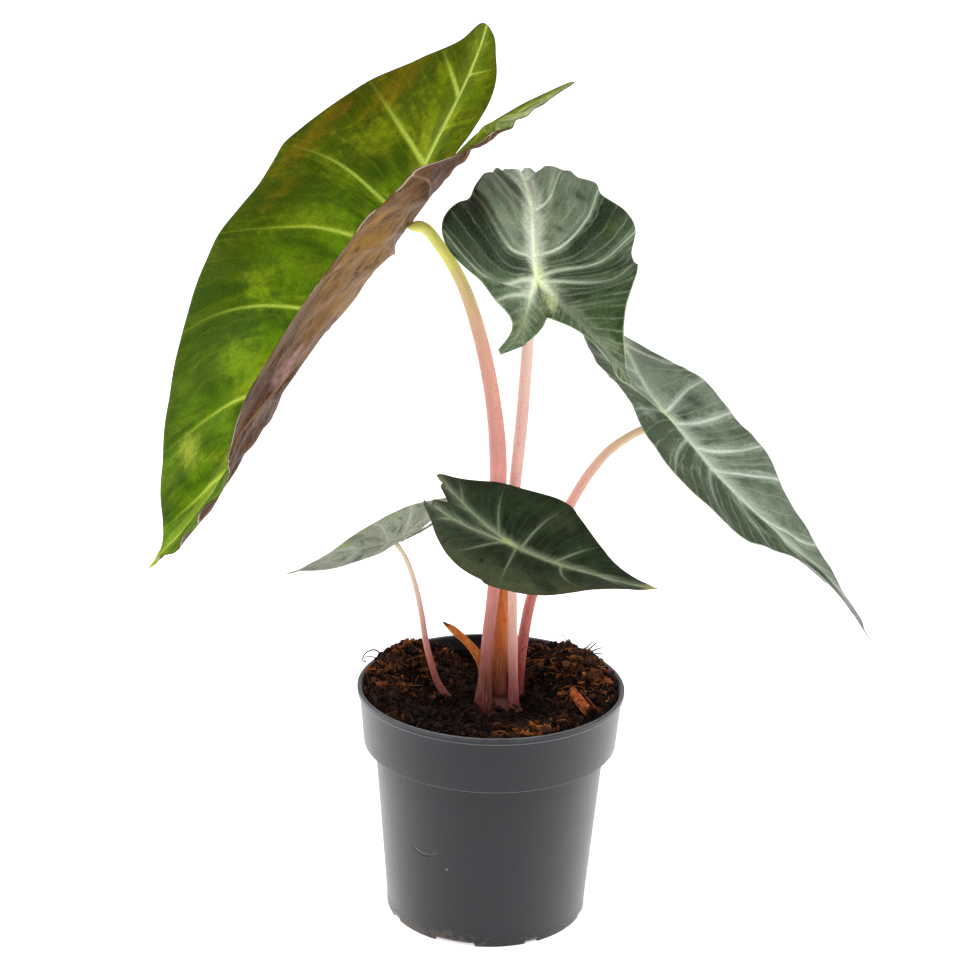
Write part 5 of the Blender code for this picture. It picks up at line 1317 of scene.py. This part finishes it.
def make_fibres():
    """Coir threads and fine dead roots that curl out of the soil."""
    parts, tints = [], []
    for x, y, z in scattered(FIBRES):
        turn, climb = dice.uniform(0, 2 * math.pi), dice.uniform(-0.1, 0.9) ** 2
        span, bend = dice.uniform(2.5, 9), dice.uniform(-0.4, 0.4)
        place = np.array([x, y, z - 0.5])
        course = [place.copy()]
        for _ in range(THREAD_BENDS):
            turn += bend + dice.uniform(-0.4, 0.4)
            climb = climb * 0.8 - 0.06
            place = place + span / THREAD_BENDS * np.array([math.cos(turn), math.sin(turn), climb])
            place[:2] *= THREAD_END / max(THREAD_END, math.hypot(place[0], place[1]))
            place[2] = max(place[2], soil_top(place[0], place[1])[0] + 0.1)
            course.append(place.copy())
        radius = dice.choice([0.09, 0.12, 0.16, 0.24])
        tints += [bit_tone(x, y)] * (5 * len(course))
        parts.append(tube(course, np.linspace(radius, radius * 0.4, len(course)), 5))
    for course, radius in LONG_FIBRES:
        course = hermite(np.arange(len(course)), np.array(course, float),
                         np.linspace(0, len(course) - 1, 24))
        parts.append(tube(course, np.linspace(radius, radius * 0.5, 24), 6))
        tints += [0.1] * (6 * 24)
    return strewn("coir_fibres", parts, tints, "soil", "coir_thread", "#30170c", "#6f3d20", "#bd7a3c",
                  2500)


def make_shreds():
    """Torn flakes of bark and coir pith, lying or standing at odd angles."""
    parts, tints = [], []
    for i, (x, y, z) in enumerate(scattered(SHREDS)):
        long, wide, thick = dice.uniform(1.8, 5.5), dice.uniform(0.5, 1.7), dice.uniform(0.2, 0.6)
        rows = 6
        spin = Matrix.Rotation(dice.uniform(0, 6.28), 3, "Z") @ Matrix.Rotation(
            dice.gauss(0, 0.45), 3, "Y") @ Matrix.Rotation(dice.gauss(0, 0.6), 3, "X")
        points = []
        for r in range(rows + 1):
            u = r / rows * 2 - 1
            half = wide / 2 * (1 - abs(u) ** 2.5) * (1 + 0.35 * math.sin(7 * r + i)) + 0.08
            arch = 0.12 * long * (1 - u * u)
            for sx, sz in ((-1, -1), (1, -1), (1.1, 1), (0, 1.5), (-0.9, 1)):
                local = Vector((u * long / 2, sx * half,
                                sz * thick / 2 + arch + 0.1 * math.sin(5 * r + sx)))
                points.append(spin @ local)
        faces = ring_faces(rows + 1, 5)
        faces += [(4, 3, 2, 1, 0), tuple(range(rows * 5, rows * 5 + 5))]
        parts.append((np.array(points) + (x, y, z + 0.5), faces))
        tints += [bit_tone(x, y)] * len(points)
    return strewn("bark_shreds", parts, tints, "bark", "torn_bark", "#28140b", "#6b3a1e", "#bb6a30", 900)


def make_chip():
    """Curled plate of pine bark: a short gutter with torn ends and a layered broken rim."""
    rows, columns = 46, 30
    length, radius, middle, half_turn = 15.0, 3.6, -122, 112
    tilt, turn = math.radians(17), math.radians(-60)
    ahead = np.array((math.cos(tilt) * math.cos(turn), math.cos(tilt) * math.sin(turn), -math.sin(tilt)))
    side = unit(np.cross((0.0, 0.0, 1.0), ahead))
    up = np.cross(ahead, side)
    shells = []
    for outer in (1, 0):
        for r in range(rows + 1):
            u = r / rows * 2 - 1
            for k in range(columns + 1):
                v = 2 * k / columns - 1
                angle = math.radians(middle + half_turn * v)
                torn = 1 + 0.09 * noise.noise(Vector((v * 4.5, u * 0.6, 3.0))) + 0.05 * noise.noise(
                    Vector((v * 11, 0.0, 9.0)))
                rough = 0.35 * noise.noise(Vector((u * 8, v * 3, outer * 5.0))) + 0.25 * noise.noise(
                    Vector((u * 3, v * 14, outer * 9.0)))
                thick = 1.3 * (1 - 0.5 * abs(v) ** 6) * (1 - 0.35 * abs(u) ** 8)
                r_here = radius * (1 + 0.08 * u) + rough + (thick if outer else 0) - 0.5
                shells.append(ahead * (u * length / 2 * torn) + side * r_here * math.cos(angle) * 0.85
                              + up * r_here * math.sin(angle))
    points = np.array(shells)
    count = (rows + 1) * (columns + 1)
    faces = []
    for a, b, c, d in grid_faces(rows + 1, columns + 1):
        faces += [(a, d, c, b), (count + b, count + c, count + d, count + a)]
    loop = border(rows + 1, columns + 1)
    for a, b in zip(loop, loop[1:] + loop[:1]):
        faces.append((a, b, count + b, count + a))
    points += np.array((CHIP_PLACE[0], CHIP_PLACE[1], 0.0))
    seat = max(soil_base(x, y) - z for x, y, z in points[:count:7])
    points[:, 2] += seat - 4.2
    hollow = np.r_[np.zeros(count), np.ones(count)]
    return make_piece("bark_chip_split", points, faces, [chip_wood()], ["bark_chip"],
                      {"hollow": hollow})


def chip_wood():
    """Pine bark, split: layered cork and wood, matt. It gives orange-brown layers with dark seams."""
    finish, tree, shader = new_finish("split_pine_bark", IOR=1.45, Specular_IOR_Level=0.4)
    place = add(tree, "ShaderNodeTexCoord", out="Object")
    turned = add(tree, "ShaderNodeMapping", {0: place, 2: (0, 0, math.radians(74)), 3: (90, 700, 900)})
    layers = add(tree, NOISE, {"Vector": turned, "Scale": 1.0, "Detail": 4.0, "Distortion": 0.6}, out=0)
    blotch = add(tree, NOISE, {"Vector": place, "Scale": 260.0, "Detail": 4.0}, out=0)
    skin = layered(tree, "#8a3f16", [
        (add(tree, RANGE, {0: layers, 1: 0.42, 2: 0.6}, **SOFT), "#c4652a"),
        (add(tree, RANGE, {0: blotch, 1: 0.52, 2: 0.66, 3: 0.0, 4: 0.8}, **SOFT), "#54260f"),
        (add(tree, RANGE, {0: layers, 1: 0.3, 2: 0.42, 3: 0.85, 4: 0.0}, **SOFT), "#2f150b"),
        # painted shade: the inside of the curl is darkened
        (times(tree, add(tree, "ShaderNodeAttribute", out="Fac", attribute_name="hollow"), 0.75),
         "#2a130a")])
    rough = add(tree, RANGE, {0: layers, 1: 0.3, 2: 0.7, 3: 0.6, 4: 0.85})
    dress(tree, shader, skin, rough, layers, 0.9, 0.0008)
    return finish


# Stem base, sheath, bract

def dry_skin(name, codes, scale, rough, see_through):
    """Dried leaf skin: paper-thin and brittle. It gives fine lengthwise streaks, scorched edges
    and a soft glow where light comes through."""
    finish, tree, shader = new_finish(name, IOR=1.45, Subsurface_Weight=see_through,
                                      Subsurface_Scale=0.002, Subsurface_Radius=(1.0, 0.5, 0.2))
    place = add(tree, "ShaderNodeTexCoord", out="Object")
    edge = add(tree, "ShaderNodeAttribute", out="Fac", attribute_name="edge")
    along = add(tree, "ShaderNodeAttribute", out="Fac", attribute_name="along")
    streak = add(tree, NOISE, {"Vector": add(tree, "ShaderNodeMapping", {0: place, 3: scale}),
                               "Scale": 1.0, "Detail": 4.0, "Roughness": 0.65}, out=0)
    blotch = add(tree, NOISE, {"Vector": place, "Scale": 220.0, "Detail": 4.0}, out=0)
    dark, middle, light, tip = codes
    skin = layered(tree, dark, [
        (add(tree, RANGE, {0: along, 1: 0.05, 2: 0.6}, **SOFT), middle),
        (add(tree, RANGE, {0: streak, 1: 0.48, 2: 0.66, 3: 0.0, 4: 0.8}, **SOFT), light),
        (add(tree, RANGE, {0: streak, 1: 0.3, 2: 0.44, 3: 0.7, 4: 0.0}, **SOFT), dark),
        (add(tree, RANGE, {0: blotch, 1: 0.55, 2: 0.7, 3: 0.0, 4: 0.6}, **SOFT), dark),
        (times(tree, add(tree, RANGE, {0: edge, 1: 0.8, 2: 1.0, 3: 0.0, 4: 0.55}, **SOFT), blotch),
         light),
        (add(tree, RANGE, {0: along, 1: 0.8, 2: 1.0, 3: 0.0, 4: 0.9}, **SOFT), tip)])
    matt = add(tree, RANGE, {0: streak, 1: 0.3, 2: 0.7, 3: rough - 0.08, 4: rough + 0.1})
    dress(tree, shader, skin, matt, streak, 0.7, 0.0004)
    return finish


def strip(rows, thickness):
    """Closed thin body from a grid of points, thinner at its sides, with edge and length marks."""
    rows = np.asarray(rows, float)
    count, width = rows.shape[:2]
    normal = unit(np.cross(np.gradient(rows, axis=1), np.gradient(rows, axis=0)) + 1e-9)
    across = np.linspace(-1, 1, width)
    half = thickness / 2 * (1 - 0.6 * np.abs(across) ** 4)[None, :, None]
    points = np.vstack([(rows + normal * half).reshape(-1, 3), (rows - normal * half).reshape(-1, 3)])
    under = count * width
    faces = []
    for a, b, c, d in grid_faces(count, width):
        faces += [(a, b, c, d), (under + d, under + c, under + b, under + a)]
    loop = border(count, width)
    for a, b in zip(loop, loop[1:] + loop[:1]):
        faces.append((a, under + a, under + b, b))
    edge = np.tile(np.abs(across), count)
    along = np.repeat(np.linspace(0, 1, count), width)
    return points, faces, {"edge": np.r_[edge, edge], "along": np.r_[along, along]}


def sheath_skin():
    """Dried sheath leaf, parchment-like: smooth and slightly see-through. It glows orange where light
    comes through, with hair-fine lengthwise veins and small brown specks, and browns to its foot."""
    finish, tree, shader = new_finish("dried_sheath_parchment", IOR=1.45, Specular_IOR_Level=0.3,
                                      Subsurface_Weight=0.25, Subsurface_Scale=0.003,
                                      Subsurface_Radius=(1.0, 0.45, 0.15))
    place = add(tree, "ShaderNodeTexCoord", out="Object")
    along = add(tree, "ShaderNodeAttribute", out="Fac", attribute_name="along")
    edge = add(tree, "ShaderNodeAttribute", out="Fac", attribute_name="edge")
    wander = add(tree, NOISE, {"Vector": place, "Scale": 160.0, "Detail": 4.0}, out=0)
    base = graded(tree, along, wander, 0.16, [(0, "#5e3226"), (0.12, "#7d4433"), (0.26, "#a55a36"),
                                              (0.4, "#c76a35"), (0.62, "#dd7c3e"), (1, "#c98550")])
    # lengthwise veins 0.8 mm apart and specks of 0.5 mm
    veins = add(tree, NOISE, {"Vector": add(tree, "ShaderNodeMapping", {0: place, 3: (1200, 1200, 30)}),
                              "Scale": 1.0, "Detail": 2.0}, out=0)
    specks = add(tree, NOISE, {"Vector": place, "Scale": 2000.0, "Detail": 2.0}, out=0)
    skin = layered(tree, base, [
        (add(tree, RANGE, {0: veins, 1: 0.5, 2: 0.68, 3: 0.0, 4: 0.3}, **SOFT), "#e39a58"),
        (add(tree, RANGE, {0: specks, 1: 0.56, 2: 0.7, 3: 0.0, 4: 0.55}, **SOFT), "#7a3216"),
        (add(tree, RANGE, {0: wander, 1: 0.55, 2: 0.7, 3: 0.0, 4: 0.45}, **SOFT), "#97451f"),
        (add(tree, RANGE, {0: edge, 1: 0.86, 2: 1.0, 3: 0.0, 4: 0.5}, **SOFT), "#7d3519")])
    rough = add(tree, RANGE, {0: specks, 1: 0.3, 2: 0.7, 3: 0.42, 4: 0.6})
    dress(tree, shader, skin, rough, veins, 0.4, 0.0003)
    return finish


def make_sheath():
    """Papery sheath leaf that wraps the front of the middle stem and runs out to a point."""
    centre, _ = stem_course("petiole_2")
    rows, columns = 120, 60
    grid = []
    for i in range(rows + 1):
        share = i / rows
        z = SHEATH_FOOT + SHEATH_RISE * share
        half = float(np.interp(share * 8, range(9), (160, 158, 145, 120, 88, 60, 38, 20, 5)))
        x, y = (float(np.interp(z, centre[:, 2], centre[:, k])) for k in (0, 1))
        around = float(np.interp(z, (104.5, 109, 113, 121, 130, 145, 166),
                                 (5.0, 4.9, 4.75, 4.3, 3.8, 3.4, 3.3)))
        row = []
        for k in range(columns + 1):
            u = 2 * k / columns - 1
            turn = math.radians(-90 + half * u)
            r = around * (1 - 0.07 * math.exp(-((turn - 0.0) / 0.6) ** 2) * (share < 0.3))
            r += 0.16 * math.sin(5 * turn + 5 * share) * math.sin(17 * share + 2 * u)
            r += 0.4 * abs(u) ** 6 * (0.4 + 0.6 * math.sin(9 * share) ** 2) * (share > 0.2)
            r += (0.12 * noise.noise(Vector((u * 3, share * 14, 0.5)))
                  + 0.8 * max(0.0, share - 0.8) * (1 - u * u))
            row.append((x + r * math.cos(turn), y + r * math.sin(turn), z))
        grid.append(row)
    points, faces, marks = strip(grid, 0.4)
    return make_piece("papery_sheath", points, faces, [sheath_skin()], ["sheath"], marks)


def make_bract():
    """Dried scale curled along its length, its tip scorched and rolled."""
    path = np.array([(-2.2, 9.8, 100), (-2.8, 9.7, 107), (-5, 9.5, 117), (-11.5, 9.5, 126),
                     (-18, 9.5, 132), (-22.5, 9.5, 135.5)], float)
    at = np.linspace(0, 5, 81)
    centre = hermite(np.arange(6), path, at)
    ahead = unit(np.gradient(centre, axis=0))
    widths = hermite(np.arange(6), np.array((1.6, 2.1, 2.0, 2.1, 1.5, 0.3)), at)
    grid = []
    for i, (place, along, half) in enumerate(zip(centre, ahead, widths)):
        side = unit(np.cross(along, (0.0, 1.0, 0.0)))
        share = i / 80
        row = []
        for u in np.linspace(-1, 1, 25):
            curl = 0.6 * half * (1 - u * u) + 0.2 * math.sin(20 * share + 3 * u) * abs(u)
            wide = half * u * (1 - 0.15 * math.sin(13 * share) * abs(u))
            row.append(place + side * wide + np.array((0.0, curl - 0.5 * share * abs(u), 0.0)))
        grid.append(row)
    points, faces, marks = strip(grid, 0.5)
    return make_piece("dried_bract", points, faces, [dry_skin(
        "dried_scale", ("#8a3c1a", "#cf7a34", "#e8a558", "#3a1c10"), (500, 900, 350), 0.6, 0.2)],
        ["bract"], marks)


def make_rhizome():
    """Woody stem base: ringed with old leaf scars, with a bulge where each stem leaves it."""
    profile = [(0.05, 112.2), (3.0, 112.4), (4.1, 111.6), (4.4, 109), (4.6, 106), (5.0, 103), (6.2, 101),
               (9.0, 99.4), (13.0, 98), (15.0, 95), (15.2, 88), (12.0, 78), (6.0, 72), (0.05, 70.2)]
    at = np.linspace(0, 13, 150)
    rings = hermite(np.arange(14), np.array(profile), at, True)
    sides = 72
    turn = 2 * np.pi * np.arange(sides) / sides
    points = []
    for r, z in rings:
        scar = 1 + 0.012 * math.sin(z * 2.3) + 0.006 * math.sin(z * 7.1)
        row = []
        for t in turn:
            rough = 1 + 0.09 * noise.noise(Vector((math.cos(t) * 2.2, math.sin(t) * 2.2, z / 3.5)))
            row.append((STUMP[0] + r * scar * rough * math.cos(t),
                        STUMP[1] + r * scar * rough * math.sin(t), z))
        points.append(row)
    faces = ring_faces(len(rings), sides)
    faces = [face[::-1] for face in faces]
    faces += [tuple(range(sides)), tuple(range((len(rings) - 1) * sides, len(rings) * sides))[::-1]]
    points = np.array(points).reshape(-1, 3)
    return make_piece("woody_stem_base", points, faces, [dry_skin(
        "stem_base_skin", ("#42201a", "#5c3026", "#80504a", "#42201a"), (300, 300, 200), 0.5, 0.15)],
        ["rhizome"], {"edge": np.zeros(len(points)), "along": 1 - (points[:, 2] - 96) / 20})


# Stage, light, camera

def make_stage():
    """Pale floor, soft studio light and the camera of the photograph."""
    finish, tree, shader = new_finish("pale_paper_floor", IOR=1.3, Specular_IOR_Level=0.2)
    mottle = add(tree, NOISE, {"Vector": add(tree, "ShaderNodeTexCoord", out="Object"), "Scale": 6.0},
                 out=0)
    link(tree, layered(tree, "#fafbfb", [(mottle, "#fdfdfe")]), shader.inputs["Base Color"])
    shader.inputs["Roughness"].default_value = 0.9
    # matt backdrop paper, lit a little from below so that it stays as white as the photo's
    shader.inputs["Emission Color"].default_value = (1, 1, 1, 1)
    shader.inputs["Emission Strength"].default_value = FLOOR_GLOW
    mesh = bpy.data.meshes.new("floor")
    mesh.from_pydata([(-9, -9, 0), (9, -9, 0), (9, 9, 0), (-9, 9, 0)], [], [(0, 1, 2, 3)])
    mesh.materials.append(finish)
    floor = placed("floor", mesh)

    world = bpy.data.worlds.new("white_studio")
    bpy.context.scene.world = world
    world.use_nodes = True
    world.node_tree.nodes["Background"].inputs[0].default_value = (1, 1, 1, 1)
    world.node_tree.nodes["Background"].inputs[1].default_value = WORLD_LIGHT
    sky = bpy.data.lights.new("wide_overhead_light", "SUN")
    sky.energy, sky.angle = OVERHEAD_LIGHT, math.radians(80)
    overhead = placed("wide_overhead_light", sky)
    overhead.rotation_euler = Vector((0.32, 0.5, -1.0)).to_track_quat("-Z", "Y").to_euler()
    for name, place, size, power in SOFT_BOXES:
        light = bpy.data.lights.new(name, "AREA")
        light.shape = "RECTANGLE"
        light.size, light.size_y = size
        light.energy = power
        lamp = placed(name, light)
        lamp.location = place
        lamp.rotation_euler = (Vector((0, 0, 0.22)) - Vector(place)).to_track_quat("-Z", "Y").to_euler()

    lens = bpy.data.cameras.new("photo_camera")
    lens.lens, lens.sensor_width, lens.clip_start = CAMERA_LENS, FILM_WIDTH, 0.01
    camera = placed("photo_camera", lens)
    right, up, ahead = (Vector(v) for v in CAMERA_AXES)
    camera.matrix_world = Matrix((right, up, -ahead)).transposed().to_4x4()
    camera.location = CAMERA_PLACE
    bpy.context.scene.camera = camera
    bpy.context.scene.view_settings.view_transform = "Standard"


for leaf_name in LEAVES:
    make_blade(leaf_name)
for stem_name in STEMS:
    make_stem(stem_name)
make_sheath()
make_bract()
make_rhizome()
make_pot()
make_soil()
make_crumbs()
make_fibres()
make_shreds()
make_chip()
make_stage()
